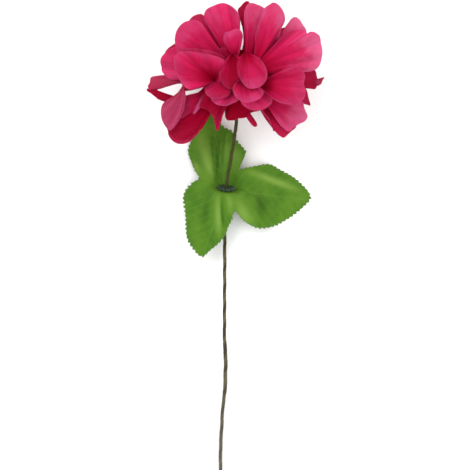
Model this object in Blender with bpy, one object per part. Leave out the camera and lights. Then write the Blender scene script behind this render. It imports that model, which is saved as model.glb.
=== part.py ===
"""Silk chrysanthemum on a taped wire stem, lying on a table: fabric bloom, plastic peg and cap,
wire stem with its tape, toothed collar and a three-lobed leaf.

Metres, +Z up. +Y runs from the stem's cut end to the bloom, and the origin is on the table under the
middle of the whole flower. Sizes below are millimetres, measured from the table point under the hub.
"""
from dataclasses import dataclass

import bmesh
import bpy
import numpy as np

MM = 0.001
TABLE_TO_BOX_MIDDLE = np.array([-2.27, -93.18, 0.0])   # from the point under the hub to the origin

# Bloom
HUB_HEIGHT = 48.0              # the heart of the petal layers, above the table
AXIS_RISE = 50.0               # degrees, the bloom faces up and away from its stem
AXIS_LEAN = 11.0               # degrees, and a little to the right
PETAL_THICKNESS = 0.7
CORE_RADIUS = 7.0
CORE_BOTTOM = -6.0             # along the bloom's axis from the hub
CORE_TOP = 9.0
ROOT_RADIUS = 5.0              # petals start inside the core
ROOT_LOWEST = -3.5             # along the axis: the outermost layer
ROOT_HIGHEST = 7.0             # and the heart
PRESS_DEPTH = 2.0              # how softly a petal or leaf flattens on the table
SLIDE = 0.8                    # how far it slides out along the table, for each mm that it would sink
LYING = 0.02                   # closer to the table than this it lies flat

# Peg through the bloom, and its cap
FIT = 0.3                      # clearance between neighbouring pieces
BEND_ROOM = 0.15               # and more in the bores, where the tape bends in flat faces
TURNED_SIDES = 16
SHANK_RADIUS = 1.7
SHANK_TOP = 10.6
FLANGE_RADIUS = 5.0
FLANGE_THICKNESS = 1.5
FLANGE_SLOPE = 0.8             # length of the cone from the flange to the sleeve
SLEEVE_RADIUS = 2.7
SLEEVE_BOTTOM = -16.0
SOCKET_FLOOR = -9.5            # the tape stops here
WIRE_SOCKET_RADIUS = 0.8
WIRE_SOCKET_TOP = 2.0
CAP_RADIUS = 3.2
CAP_SEAT = 8.6
CAP_HEIGHT = 3.3
CAP_WALL = 1.3

# Stem
WIRE_RADIUS = 0.5
TAPE_BORE = 0.75
TAPE_RADIUS = 1.02
TAPE_DOUBLED = 0.13            # thicker where one length of tape is wound over the next
TAPE_LAPS = (-187.6, -155.0)   # the doubled stretch, along Y
WIRE_SIDES, WIRE_STEP = 6, 8.0           # faces round it, and the length of each
TAPE_SIDES, TAPE_STEP = 8, 5.5

# Leaf and its collar
COLLAR_CENTRE = np.array([-8.6, -62.0, 13.0])
COLLAR_RISE = 20.0             # degrees, the stem's slope there
COLLAR_LEAN = 6.0              # and its turn to the right
FLANGE_TEETH = 14
TOOTH_RADIUS = 5.65
TOOTH_DEPTH = 0.9
COLLAR_FLANGE = 1.6            # thickness of the toothed flange
COLLAR_WASHER = 1.1            # and of the plain one behind the leaf
WASHER_RADIUS = 4.6
COLLAR_END = -9.0              # where its tapered sleeve ends on the stem
SLEEVE_TAPER = (2.5, 2.0)      # the sleeve's radius at the washer and at its end
NECK_RADIUS = 3.0
LEAF_THICKNESS = 0.7
LEAF_DISC = 6.0                # the leaf is square to the stem out to here
LEAF_SPREAD = 12.0             # and lies out flat from here
LEAF_STEP = 5.0                # over the stem on one side, under it on the other
LEAF_RINGS = (6.5, 9.5)        # distances of the rows of points that bend it out of the disc
LEAF_ROWS = (0.3, 0.65, 1.0)   # the rows further out, as shares of the way to the edge
LEAF_TOOTH_DEPTH = 1.0
LEAF_TOOTH_PITCH = 5.2
# How far each side of the leaf sinks towards the table: the drop, where it starts and over what distance
RIGHT_SINK = (22.0, 6.0, 46.0)
LEFT_SINK = (11.0, 4.0, 30.0)
FRONT_SINK = (1.5, 8.0, 40.0)
BACK_SINK = (3.5, 8.0, 40.0)
LEFT_BACK_EASE = 0.5           # share of the left drop that is spared at the back
FOLD_HEIGHT = 1.6              # of the right lobe's lengthwise fold
FOLD_TURN = 2.6                # degrees of its wave for each mm across
FOLD_PLACE = 6.0               # how far in front of the collar its wave starts
FOLD_START = 20.0              # and how far out it is full


def unit(v):
    return v / np.linalg.norm(v)


def direction(rise, lean):
    """Unit vector that climbs rise degrees from the table, lean degrees to the right of +Y."""
    up, side = np.radians(rise), np.radians(lean)
    return np.array([np.cos(up) * np.sin(side), np.cos(up) * np.cos(side), np.sin(up)])


AXIS = direction(AXIS_RISE, AXIS_LEAN)
HUB = np.array([0.0, 0.0, HUB_HEIGHT])


@dataclass
class Petal:
    tip: tuple                 # from the hub
    width: float
    axial: float = 0.5         # 1 leaves the core along the axis, 0 straight out from it
    cup: tuple = (55, 20)      # how far its two sides are rolled up, degrees at the root and the tip
    far_cup: tuple = None      # the second side, where it differs
    roll: float = 0            # turned about its own length
    sweep: float = 0           # bowed sideways
    arch: float = 0.5          # how far it runs out before it bends to its tip
    blunt: float = 0.3         # 0 a square end, 0.6 a pointed one
    notch: float = 0.03        # depth of the dip in its end, as a share of its length
    spans: tuple = (5, 4)      # faces along and across


# The petals that show from the front, anticlockwise from the top, then the heart, then the back ones
PETALS = [
    Petal((-13.5, 51.0, -4.0), 32, 0.7, (50, 15), roll=-6, sweep=-5),
    Petal((-5.5, 34.0, 12.0), 14, 0.85, (40, 15), roll=-12, arch=0.45, sweep=-3),
    Petal((-37.0, 33.5, 3.0), 42, 0.75, (55, 18), roll=4),
    Petal((-25.0, 43.5, -10.0), 26, 0.5, (50, 10)),
    Petal((-38.5, 9.5, 18.0), 44, 0.75, (55, 20), far_cup=(40, 1), roll=6, blunt=0.25),
    Petal((-48.5, 15.0, -3.0), 33, 0.5, (60, 15)),
    Petal((-54.0, 2.5, -10.0), 22, 0.35, (40, 20), roll=62),
    Petal((-55.5, -3.0, -6.0), 15, 0.1, (30, 20), roll=-96, sweep=-17),
    Petal((-39.0, -31.5, -3.0), 43, 0.3, (60, 10), roll=4, blunt=0.35),
    Petal((-44.0, -24.0, 9.0), 15, 0.4, (40, 25), roll=-30, sweep=24, blunt=0.5),
    Petal((-14.0, -27.0, 8.0), 13, 0.1, (40, 20), blunt=0.65, spans=(4, 3)),
    Petal((-3.0, -20.5, 14.0), 22, 0.1, (40, 10), spans=(4, 4)),
    Petal((10.0, -24.5, 4.0), 6, 0.1, (40, 10), blunt=0.5, spans=(4, 3)),
    Petal((37.0, -23.5, 16.0), 30, 0.35, (50, 5), roll=-6, sweep=3, blunt=0.3),
    Petal((28.0, -31.5, 6.0), 24, 0.2, (50, 20), roll=-8, blunt=0.45),
    Petal((37.0, -5.5, 25.0), 39, 0.75, (60, 18), roll=-4),
    Petal((46.0, 3.0, -6.0), 26, 0.4, (40, 10), blunt=0.2),
    Petal((51.5, 5.0, -12.0), 9, 0.4, (40, 10), blunt=0.65, spans=(4, 3)),
    Petal((42.5, -11.5, -12.0), 12, 0.3, (40, 10), blunt=0.6, spans=(4, 3)),
    Petal((49.5, 24.0, 6.0), 36, 0.75, (50, 5), blunt=0.22, notch=0.05),
    Petal((38.0, 41.0, -8.0), 24, 0.6, (60, 20), blunt=0.45),
    Petal((21.0, 49.5, 4.0), 17, 0.75, (50, 12), sweep=11),
    Petal((9.5, 50.5, -3.0), 16, 0.75, (50, 12), sweep=9),
    Petal((5.0, 51.0, -14.0), 15, 0.6, (60, 15), roll=24, sweep=3, blunt=0.4),
    # the heart
    Petal((10.0, -3.5, 33.0), 22, 1.0, (10, -35), arch=1.4),
    Petal((-10.0, 4.0, 32.0), 20, 1.0, (30, 15), arch=0.85),
    Petal((-14.0, -13.5, 31.0), 30, 0.9, (35, -12), arch=0.75),
    Petal((7.0, -11.0, 34.0), 24, 0.9, (35, -15), arch=0.8),
    Petal((11.0, -16.5, 28.0), 30, 0.8, (40, -10), arch=0.75),
    Petal((-1.0, 14.0, 22.0), 12, 1.0, (50, 30), arch=0.6, spans=(4, 3)),
    Petal((9.0, 14.0, 20.0), 12, 1.0, (50, 30), arch=0.6, spans=(4, 3)),
    Petal((5.0, 8.0, 24.0), 12, 1.0, (50, 30), arch=0.6, spans=(4, 3)),
    # behind, down to the table
    Petal((-21.0, 21.0, -64.0), 30, 0.0, (35, 3), arch=0.6, spans=(6, 4)),
    Petal((23.0, 19.0, -64.0), 30, 0.0, (35, 3), arch=0.6, spans=(6, 4)),
    Petal((-38.0, 16.0, -30.0), 28, 0.1, (50, 10), spans=(4, 4)),
    Petal((39.0, 15.0, -30.0), 28, 0.1, (50, 10), spans=(4, 4)),
    Petal((-39.0, -9.0, -27.0), 26, 0.1, (50, 10), spans=(4, 4)),
    Petal((37.0, -11.0, -28.0), 24, 0.1, (50, 10), spans=(4, 4)),
    Petal((-24.0, -22.0, -22.0), 24, 0.0, (50, 20), spans=(4, 4)),
    Petal((22.0, -24.0, -18.0), 22, 0.0, (50, 20), spans=(4, 4)),
]


def petal_outline(petal, u, v):
    """Share of its length and half its width, at u along and v across (from -1 to 1)."""
    base, widest, narrowing = 0.32, 0.72, 0.1
    rise = np.clip(u / widest, 0, 1)
    fall = np.clip((u - widest) / (1 - widest), 0, 1)
    grown = base + (1 - base) * np.sin(rise * np.pi / 2) ** 1.3 - narrowing * fall ** 2
    along = u * (1 - petal.blunt * np.abs(v) ** 2.6 - petal.notch * np.exp(-(v / 0.22) ** 2))
    return along, petal.width / 2 * grown


def petal_surface(petal, along_count, across_count):
    """Grid of points on the petal's middle surface, from its root to its tip."""
    u, v = np.meshgrid(np.linspace(0, 1, along_count), np.linspace(-1, 1, across_count), indexing="ij")
    s, half = petal_outline(petal, u, v)
    tip = np.array(petal.tip)
    outward = unit(tip - tip.dot(AXIS) * AXIS)
    root = outward * ROOT_RADIUS + AXIS * (ROOT_LOWEST + (ROOT_HIGHEST - ROOT_LOWEST) * petal.axial)
    chord = unit(tip - root)
    inner = unit(AXIS - AXIS.dot(chord) * chord)
    side = np.cross(chord, inner)
    leave = unit(AXIS * petal.axial + outward * (1 - petal.axial) + 0.15 * chord)
    bend = root + leave * np.linalg.norm(tip - root) * petal.arch + side * petal.sweep
    s = s[..., None]
    centre = root * (1 - s) ** 2 + 2 * bend * s * (1 - s) + tip * s ** 2
    tangent = (1 - s) * (bend - root) + s * (tip - bend)
    tangent /= np.linalg.norm(tangent, axis=-1, keepdims=True)
    normal = np.cross(side, tangent)
    normal /= np.linalg.norm(normal, axis=-1, keepdims=True)
    across = np.cross(tangent, normal)
    turn = np.radians(petal.roll)
    face = normal * np.cos(turn) + across * np.sin(turn)
    wide = across * np.cos(turn) - normal * np.sin(turn)
    near, far = petal.cup, petal.far_cup or petal.cup
    rolled = [side_cup[0] + (side_cup[1] - side_cup[0]) * s[..., 0] for side_cup in (near, far)]
    cup = np.radians(np.where(v > 0, *rolled))
    cup = np.where(np.abs(cup) < 0.01, 0.01, cup)
    x = half * np.sin(cup * v) / cup
    z = half * (1 - np.cos(cup * v)) / cup
    points = HUB + centre + wide * x[..., None] + face * z[..., None]
    sunk = np.clip(PETAL_THICKNESS / 2 - points[..., 2], 0, None)
    points[..., :2] += unit(outward[:2]) * sunk[..., None] * SLIDE
    return rest_on_table(points, PETAL_THICKNESS)


def rest_on_table(points, thickness):
    """Bends what would pass through the table into a flat spot that lies on it."""
    low = points[..., 2] - thickness / 2
    eased = (low + PRESS_DEPTH) ** 2 / (4 * PRESS_DEPTH)
    pressed = np.where(low < -PRESS_DEPTH, 0, np.where(low < PRESS_DEPTH, eased, low))
    points[..., 2] = thickness / 2 + pressed
    return points


# Route of the stem from its cut end to the collar and on to the bloom
STEM_ROUTE = [
    (-12.0, -236.3, 0.9), (-11.9, -227.6, 1.2), (-11.8, -218.4, 1.7), (-11.4, -211.0, 2.1),
    (-10.8, -200.0, 2.5), (-10.3, -193.5, 2.8), (-9.4, -186.5, 3.1), (-9.0, -178.4, 3.5),
    (-8.8, -165.0, 4.1), (-9.4, -154.0, 4.6), (-9.4, -135.0, 5.4), (-9.3, -107.8, 6.7),
    (-9.3, -90.6, 7.4), (-9.4, -81.5, 8.0),
]
STEM_ABOVE_COLLAR = [(-6.0, -46.0, 18.6), (-3.9, -33.5, 22.6), (-2.6, -24.5, 25.6), (-2.0, -17.5, 29.3)]


def stem_route():
    """The stem's centre line as hand-placed points, the last ones straight into the bloom's sleeve."""
    collar = direction(COLLAR_RISE, COLLAR_LEAN)
    through = [COLLAR_CENTRE + collar * t for t in (-10.0, -5.0, 0.0, 5.0)]
    heights = (SLEEVE_BOTTOM, SLEEVE_BOTTOM / 2 - 4, SOCKET_FLOOR, -4.0, WIRE_SOCKET_TOP)
    into_bloom = [HUB + AXIS * t for t in heights]
    return np.array(STEM_ROUTE + through + STEM_ABOVE_COLLAR + into_bloom)


def smooth_line(points, step):
    """Points every step along a centripetal curve through the given ones, ends included."""
    ends = np.vstack([2 * points[0] - points[1], points, 2 * points[-1] - points[-2]])
    knots = np.concatenate([[0], np.cumsum(np.sqrt(np.linalg.norm(np.diff(ends, axis=0), axis=1)))])
    fine = []
    for i in range(1, len(ends) - 2):
        t0, t1, t2, t3 = knots[i - 1:i + 3]
        p0, p1, p2, p3 = ends[i - 1:i + 3]
        for t in np.linspace(t1, t2, 24, endpoint=False):
            a1 = (t1 - t) / (t1 - t0) * p0 + (t - t0) / (t1 - t0) * p1
            a2 = (t2 - t) / (t2 - t1) * p1 + (t - t1) / (t2 - t1) * p2
            a3 = (t3 - t) / (t3 - t2) * p2 + (t - t2) / (t3 - t2) * p3
            b1 = (t2 - t) / (t2 - t0) * a1 + (t - t0) / (t2 - t0) * a2
            b2 = (t3 - t) / (t3 - t1) * a2 + (t - t1) / (t3 - t1) * a3
            fine.append((t2 - t) / (t2 - t1) * b1 + (t - t1) / (t2 - t1) * b2)
    fine = np.array(fine + [points[-1]])
    run = np.concatenate([[0], np.cumsum(np.linalg.norm(np.diff(fine, axis=0), axis=1))])
    stops = np.linspace(0, run[-1], max(2, round(run[-1] / step)) + 1)
    return np.stack([np.interp(stops, run, fine[:, k]) for k in range(3)], axis=1)


def cut_line(line, hub_distance):
    """The line up to where it comes within hub_distance below the hub, along the bloom's axis."""
    along = (line - HUB) @ AXIS
    last = np.argmax(along > hub_distance)
    share = (hub_distance - along[last - 1]) / (along[last] - along[last - 1])
    return np.vstack([line[:last], line[last - 1] + share * (line[last] - line[last - 1])])


LEAF_EDGE_OFFSET = 1.7         # the edge is laid out about a point this far above the hole
# Edge of the leaf, seen from above: (angle from +X in degrees, distance)
LEAF_EDGE = [
    (54, 13.6), (38, 20.8), (28, 30.4), (19, 34.8), (6, 44.2), (-6.5, 52.5), (-15, 48.5), (-27, 42.6),
    (-40, 37.2), (-52, 31.5), (-61, 24.0), (-69, 15.4), (-73, 16.4), (-79, 20.0), (-86, 23.8),
    (-91, 29.2), (-98, 35.0), (-104, 39.6), (-109, 44.8), (-118, 42.6), (-127, 39.2), (-145, 30.2),
    (-157, 27.8), (-168, 26.6), (-179, 23.8), (171, 20.4), (161, 17.4), (151, 22.0), (144, 26.0), (136, 32.2),
    (125, 36.4), (112, 42.0), (101, 46.0), (92, 43.5), (82, 37.5), (72, 32.0), (62, 26.0),
]


def leaf_boundary():
    """Points round the leaf's toothed edge, two to each tooth: angle and distance from the collar."""
    angle, reach = np.array(LEAF_EDGE, float).T
    angle = np.radians(angle)
    corner = np.stack([reach * np.cos(angle), reach * np.sin(angle) + LEAF_EDGE_OFFSET, 0 * reach], axis=1)
    closed = smooth_line(np.vstack([corner, corner[:1]]), 0.5)[:-1]
    length = np.linalg.norm(np.diff(np.vstack([closed, closed[:1]]), axis=0), axis=1).sum()
    teeth = round(length / LEAF_TOOTH_PITCH)
    share = np.arange(2 * teeth) / (2 * teeth) * len(closed)
    edge = closed[np.round(share).astype(int) % len(closed)]
    tooth = np.where(np.arange(2 * teeth) % 2 == 0, 0.5, -0.5) * LEAF_TOOTH_DEPTH
    return np.unwrap(np.arctan2(edge[:, 1], edge[:, 0])), np.linalg.norm(edge[:, :2], axis=1) + tooth


def smooth_step(x):
    x = np.clip(x, 0, 1)
    return x * x * (3 - 2 * x)


def sunk(way, sink):
    """How far one side of the leaf has sunk at a distance to that side, and the share of its whole drop."""
    drop, start, run = sink
    share = smooth_step((way - start) / run)
    return drop * share, share


def leaf_height(angle, reach):
    """Height of the spread leaf above the collar's centre: over the stem below it, under it above."""
    x, y = reach * np.cos(angle), reach * np.sin(angle)
    over = -np.sin(angle) * LEAF_STEP
    right = sunk(x, RIGHT_SINK)[0]
    front = sunk(-y, FRONT_SINK)[0]
    back, back_share = sunk(y, BACK_SINK)
    left = sunk(-x, LEFT_SINK)[0] * (1 - LEFT_BACK_EASE * back_share)
    fold = FOLD_HEIGHT * np.sin(np.radians(FOLD_TURN) * (y + FOLD_PLACE)) * smooth_step(x / FOLD_START)
    return over - right - left - front - back + fold


def leaf_point(angle, reach):
    """A point of the leaf: square to the stem round the collar, laid out flat further off."""
    collar = direction(COLLAR_RISE, COLLAR_LEAN)
    right = unit(np.cross(collar, np.array([0.0, 0.0, 1.0])))
    up = np.cross(right, collar)
    flat = np.stack([reach * np.cos(angle), reach * np.sin(angle), leaf_height(angle, reach)], axis=-1)
    disc = reach[..., None] * (np.cos(angle)[..., None] * right - np.sin(angle)[..., None] * up)
    spread = smooth_step((reach - LEAF_DISC) / (LEAF_SPREAD - LEAF_DISC))[..., None]
    return rest_on_table(COLLAR_CENTRE + disc * (1 - spread) + flat * spread, LEAF_THICKNESS)


def to_world(points):
    return (np.asarray(points) - TABLE_TO_BOX_MIDDLE) * MM


def make_object(name, points, faces, collection=None, smooth_angle=None):
    """One closed solid from points in millimetres and faces, turned the right way out."""
    mesh = bpy.data.meshes.new(name)
    points = to_world(points)
    volume = 0.0
    for face in faces:
        for k in range(1, len(face) - 1):
            volume += np.dot(points[face[0]], np.cross(points[face[k]], points[face[k + 1]]))
    if volume < 0:
        faces = [tuple(reversed(face)) for face in faces]
    mesh.from_pydata([tuple(p) for p in points], [], faces)
    if smooth_angle:
        mesh.shade_smooth()
        mesh.set_sharp_from_angle(angle=np.radians(smooth_angle))
    made = bpy.data.objects.new(name, mesh)
    (collection or bpy.context.scene.collection).objects.link(made)
    return made


def thick_sheet(grid, thickness, closed_across=False):
    """Points and triangles of a sheet with the given middle surface, cut alike on both faces."""
    rows, columns = grid.shape[:2]
    wrap = (lambda j: j % columns) if closed_across else (lambda j: j)
    spans = columns if closed_across else columns - 1
    triangles = []
    for i in range(rows - 1):
        for j in range(spans):
            a, b = i * columns + j, i * columns + wrap(j + 1)
            c, d = a + columns, b + columns
            triangles += [(a, c, d), (a, d, b)] if (i + j) % 2 else [(a, c, b), (b, c, d)]
    flat = grid.reshape(-1, 3).copy()
    normals = np.zeros_like(flat)
    for a, b, c in triangles:
        lean = np.cross(flat[b] - flat[a], flat[c] - flat[a])
        for corner in (a, b, c):
            normals[corner] += lean
    normals /= np.linalg.norm(normals, axis=1, keepdims=True)
    lying = flat[:, 2] < thickness / 2 + LYING
    flat[lying, 2] = thickness / 2
    normals[lying] = np.sign(normals[lying, 2:]) * [0, 0, 1]
    count = len(flat)
    points = np.vstack([flat + normals * thickness / 2, flat - normals * thickness / 2])
    faces = triangles + [(c + count, b + count, a + count) for a, b, c in triangles]
    index = np.arange(count).reshape(rows, columns)
    if closed_across:
        rims = [[*index[0], index[0, 0]], [*index[-1, ::-1], index[-1, -1]]]
    else:
        rims = [[*index[0], *index[1:, -1], *index[-1, -2::-1], *index[-2::-1, 0]]]
    for rim in rims:
        for a, b in zip(rim[:-1], rim[1:]):
            faces += [(int(a), int(b), int(b) + count), (int(a), int(b) + count, int(a) + count)]
    return points, faces


def turned(centre, axis, profile, sides, closed=False):
    """Points and faces of a turned solid. The profile holds (along the axis, radius), radius 0 at a pole."""
    second = unit(np.cross(axis, np.array([1.0, 0.0, 0.0])))
    first = np.cross(second, axis)
    points, rings = [], []
    for along, radius in profile:
        if radius == 0:
            rings.append([len(points)])
            points.append(centre + axis * along)
            continue
        rings.append([len(points) + k for k in range(sides)])
        for k in range(sides):
            turn = 2 * np.pi * k / sides
            points.append(centre + axis * along + radius * (np.cos(turn) * first + np.sin(turn) * second))
    faces = []
    pairs = list(zip(rings[:-1], rings[1:])) + ([(rings[-1], rings[0])] if closed else [])
    for one, two in pairs:
        for k in range(sides):
            n = (k + 1) % sides
            if len(one) == 1:
                faces.append((one[0], two[k], two[n]))
            elif len(two) == 1:
                faces.append((one[k], two[0], one[n]))
            else:
                faces.append((one[k], two[k], two[n], one[n]))
    return points, faces


def tube(line, radii, sides):
    """Rings round a line, one for each radius and point, square to the line and without twist."""
    tangents = np.gradient(line, axis=0)
    first = np.array([1.0, 0.0, 0.0])
    rings = []
    for point, tangent, radius in zip(line, tangents, radii):
        tangent = unit(tangent)
        first = unit(first - first.dot(tangent) * tangent)
        second = np.cross(tangent, first)
        turns = 2 * np.pi * (np.arange(sides) + 0.5) / sides
        rings.append(point + radius * (np.cos(turns)[:, None] * first + np.sin(turns)[:, None] * second))
    return np.array(rings)


def ring_faces(start, rings, sides):
    """Faces between rings stored one after another from start."""
    faces = []
    for i in range(rings - 1):
        for k in range(sides):
            a, b = start + i * sides + k, start + i * sides + (k + 1) % sides
            faces.append((a, b, b + sides, a + sides))
    return faces


def tape_radius(line):
    """Outer radius of the wound tape along the stem, thicker where it is doubled."""
    first, last = TAPE_LAPS
    y = line[:, 1]
    doubled = smooth_step((y - first) / 2) * smooth_step((last - y) / 2)
    return TAPE_RADIUS + TAPE_DOUBLED * doubled


def build_stem():
    """Steel wire inside a tube of wound tape, both cut square at the free end."""
    sides = WIRE_SIDES
    whole = smooth_line(stem_route(), WIRE_STEP)
    wire = tube(whole, np.full(len(whole), WIRE_RADIUS), sides)
    wire_points = wire.reshape(-1, 3)
    ends = [tuple(range(sides))[::-1], tuple(range(len(wire_points) - sides, len(wire_points)))]
    make_object("stem_wire", wire_points, ring_faces(0, len(whole), sides) + ends, smooth_angle=50)

    taped = cut_line(smooth_line(stem_route(), TAPE_STEP), SOCKET_FLOOR - FIT)
    sides = TAPE_SIDES
    outer = tube(taped, tape_radius(taped), sides).reshape(-1, 3)
    outer[:, 2] = np.maximum(outer[:, 2], 0)    # the cut end lies on the table
    inner = tube(taped, np.full(len(taped), TAPE_BORE), sides).reshape(-1, 3)
    count = len(outer)
    faces = ring_faces(0, len(taped), sides)
    faces += [tuple(reversed(face)) for face in ring_faces(count, len(taped), sides)]
    for k in range(sides):
        n = (k + 1) % sides
        faces.append((n, k, count + k, count + n))
        last = count - sides
        faces.append((last + k, last + n, count + last + n, count + last + k))
    make_object("stem_wrap", np.vstack([outer, inner]), faces, smooth_angle=50)


def build_peg_and_cap():
    """Plastic peg that carries the petal layers, with sockets for tape and wire, and its cap."""
    flange_top = CORE_BOTTOM - FIT
    flange_bottom = flange_top - FLANGE_THICKNESS
    tape_bore = TAPE_RADIUS + FIT + BEND_ROOM
    wire_end = WIRE_SOCKET_TOP + FIT
    peg = [
        (SHANK_TOP, 0), (SHANK_TOP, SHANK_RADIUS - 0.4), (SHANK_TOP - 0.6, SHANK_RADIUS),
        (flange_top, SHANK_RADIUS), (flange_top, FLANGE_RADIUS), (flange_bottom, FLANGE_RADIUS),
        (flange_bottom - FLANGE_SLOPE, SLEEVE_RADIUS), (SLEEVE_BOTTOM + 0.6, SLEEVE_RADIUS - 0.3),
        (SLEEVE_BOTTOM, SLEEVE_RADIUS - 0.6), (SLEEVE_BOTTOM, tape_bore), (SOCKET_FLOOR, tape_bore),
        (SOCKET_FLOOR, WIRE_SOCKET_RADIUS), (wire_end, WIRE_SOCKET_RADIUS), (wire_end, 0),
    ]
    make_object("peg", *turned(HUB, AXIS, peg, TURNED_SIDES), smooth_angle=40)
    seat = CAP_SEAT + FIT
    top = seat + CAP_HEIGHT
    cap = [
        (top, 0), (top - 0.3, CAP_RADIUS * 0.6), (top - 1.2, CAP_RADIUS), (seat, CAP_RADIUS),
        (seat, SHANK_RADIUS + FIT), (top - CAP_WALL, SHANK_RADIUS + FIT), (top - CAP_WALL, 0),
    ]
    make_object("cap", *turned(HUB, AXIS, cap, TURNED_SIDES), smooth_angle=40)


def build_collar():
    """Spool on the stem that grips the leaf: a toothed flange, a neck through it and a sleeve below."""
    axis = direction(COLLAR_RISE, COLLAR_LEAN)
    bore = TAPE_RADIUS + FIT + BEND_ROOM
    leaf_face = LEAF_THICKNESS / 2 + FIT
    washer = leaf_face + COLLAR_WASHER
    sleeve, sleeve_end = SLEEVE_TAPER
    sides = 2 * FLANGE_TEETH
    front = leaf_face + COLLAR_FLANGE
    profile = [
        (front, bore), (front, TOOTH_RADIUS - 0.4), (front - 0.5, TOOTH_RADIUS),
        (leaf_face, TOOTH_RADIUS), (leaf_face, NECK_RADIUS), (-leaf_face, NECK_RADIUS),
        (-leaf_face, WASHER_RADIUS), (-washer, WASHER_RADIUS), (-washer - 0.4, sleeve),
        (COLLAR_END, sleeve_end), (COLLAR_END, bore),
    ]
    points, faces = turned(COLLAR_CENTRE, axis, profile, sides, closed=True)
    points = np.array(points)
    for ring in (1, 2, 3):                    # the flange's outer rings, with a valley at every second side
        valley = points[ring * sides + 1:(ring + 1) * sides:2]
        centre = COLLAR_CENTRE + axis * profile[ring][0]
        valley += (centre - valley) * TOOTH_DEPTH / TOOTH_RADIUS
    make_object("leaf_collar", points, faces, smooth_angle=25)


def build_leaves():
    """One fabric leaf of three toothed lobes with a hole for the collar's neck."""
    angle, edge = leaf_boundary()
    rings = [np.full_like(edge, reach) for reach in (NECK_RADIUS + FIT, *LEAF_RINGS)]
    rings += [LEAF_RINGS[-1] + (edge - LEAF_RINGS[-1]) * share for share in LEAF_ROWS]
    grid = np.array([leaf_point(angle, reach) for reach in rings])
    points, faces = thick_sheet(grid, LEAF_THICKNESS, closed_across=True)
    return make_object("leaves", points, faces)


def build_bloom():
    """Petals in their layers, fused to a small core with a bore for the peg and a seat for the cap."""
    layers = bpy.data.collections.new("petals")
    bpy.context.scene.collection.children.link(layers)
    for number, petal in enumerate(PETALS):
        along, across = petal.spans
        grid = petal_surface(petal, along + 1, across + 1)
        make_object(f"petal_{number}", *thick_sheet(grid, PETAL_THICKNESS), collection=layers)
    core = [
        (CORE_TOP, 0), (CORE_TOP - 0.5, CORE_RADIUS * 0.55), (CORE_TOP - 3, CORE_RADIUS * 0.9),
        (0.5, CORE_RADIUS), (CORE_BOTTOM + 1.5, CORE_RADIUS * 0.95), (CORE_BOTTOM, CORE_RADIUS * 0.75),
        (CORE_BOTTOM, 0),
    ]
    bloom = make_object("bloom", *turned(HUB, AXIS, core, TURNED_SIDES))
    fuse(bloom, layers, "UNION")
    flange_bottom = CORE_BOTTOM - 2 * FIT - FLANGE_THICKNESS
    room_top = CAP_SEAT + CAP_HEIGHT + 2 * FIT
    room = [
        (room_top, 0), (room_top, CAP_RADIUS + FIT), (CAP_SEAT, CAP_RADIUS + FIT),
        (CAP_SEAT, SHANK_RADIUS + FIT), (CORE_BOTTOM, SHANK_RADIUS + FIT),
        (CORE_BOTTOM - 0.01, FLANGE_RADIUS + FIT), (flange_bottom, FLANGE_RADIUS + FIT),
        (flange_bottom - FLANGE_SLOPE, SLEEVE_RADIUS + FIT), (SLEEVE_BOTTOM - 1, SLEEVE_RADIUS + FIT),
        (SLEEVE_BOTTOM - 1, 0),
    ]
    cutters = bpy.data.collections.new("room for the peg")
    bpy.context.scene.collection.children.link(cutters)
    make_object("peg_room", *turned(HUB, AXIS, room, TURNED_SIDES), collection=cutters)
    fuse(bloom, cutters, "DIFFERENCE")
    return bloom


def fuse(target, collection, operation):
    """Applies one Boolean with everything in the collection, which is then removed."""
    modifier = target.modifiers.new(operation.lower(), "BOOLEAN")
    modifier.operation = operation
    modifier.operand_type = "COLLECTION"
    modifier.collection = collection
    modifier.solver = "MANIFOLD"      # the exact solver leaves edges open where thin petals cross at a slant
    bpy.context.view_layer.update()
    evaluated = target.evaluated_get(bpy.context.evaluated_depsgraph_get())
    fused = bpy.data.meshes.new_from_object(evaluated)
    target.modifiers.clear()
    target.data = fused
    keep_largest_body(fused)
    for piece in list(collection.objects):
        bpy.data.objects.remove(piece)
    bpy.data.collections.remove(collection)


def keep_largest_body(mesh):
    """Drops loose scraps and the walls of sealed hollows, so that one solid is left."""
    shape = bmesh.new()
    shape.from_mesh(mesh)
    left = set(shape.verts)
    bodies = []
    while left:
        body, reached = set(), [left.pop()]
        while reached:
            corner = reached.pop()
            body.add(corner)
            near = {edge.other_vert(corner) for edge in corner.link_edges} & left
            left -= near
            reached.extend(near)
        bodies.append(body)
    bodies.sort(key=len)
    bmesh.ops.delete(shape, geom=[corner for body in bodies[:-1] for corner in body], context="VERTS")
    shape.to_mesh(mesh)
    shape.free()


def material(name, colour, roughness, metallic=0.0):
    made = bpy.data.materials.new(name)
    made.use_nodes = True
    shader = made.node_tree.nodes["Principled BSDF"]
    shader.inputs["Base Color"].default_value = (*colour, 1)
    shader.inputs["Roughness"].default_value = roughness
    shader.inputs["Metallic"].default_value = metallic
    return made


def finish_materials():
    finishes = {
        "bloom": material("pink polyester petal cloth", (0.72, 0.02, 0.13), 0.7),
        "leaves": material("green polyester leaf cloth", (0.11, 0.27, 0.03), 0.7),
        "leaf_collar": material("dark green polyethylene", (0.03, 0.09, 0.035), 0.45),
        "peg": material("green polyethylene", (0.04, 0.12, 0.04), 0.45),
        "cap": material("crimson polyethylene", (0.4, 0.01, 0.05), 0.45),
        "stem_wrap": material("olive florist's tape", (0.1, 0.085, 0.035), 0.8),
        "stem_wire": material("bare steel wire", (0.5, 0.5, 0.5), 0.35, 1.0),
    }
    for name, finish in finishes.items():
        mesh = bpy.data.objects[name].data
        mesh.materials.clear()
        mesh.materials.append(finish)


def main():
    for old in list(bpy.data.objects):
        bpy.data.objects.remove(old)
    build_stem()
    build_peg_and_cap()
    build_collar()
    build_leaves()
    build_bloom()
    finish_materials()


main()
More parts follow.
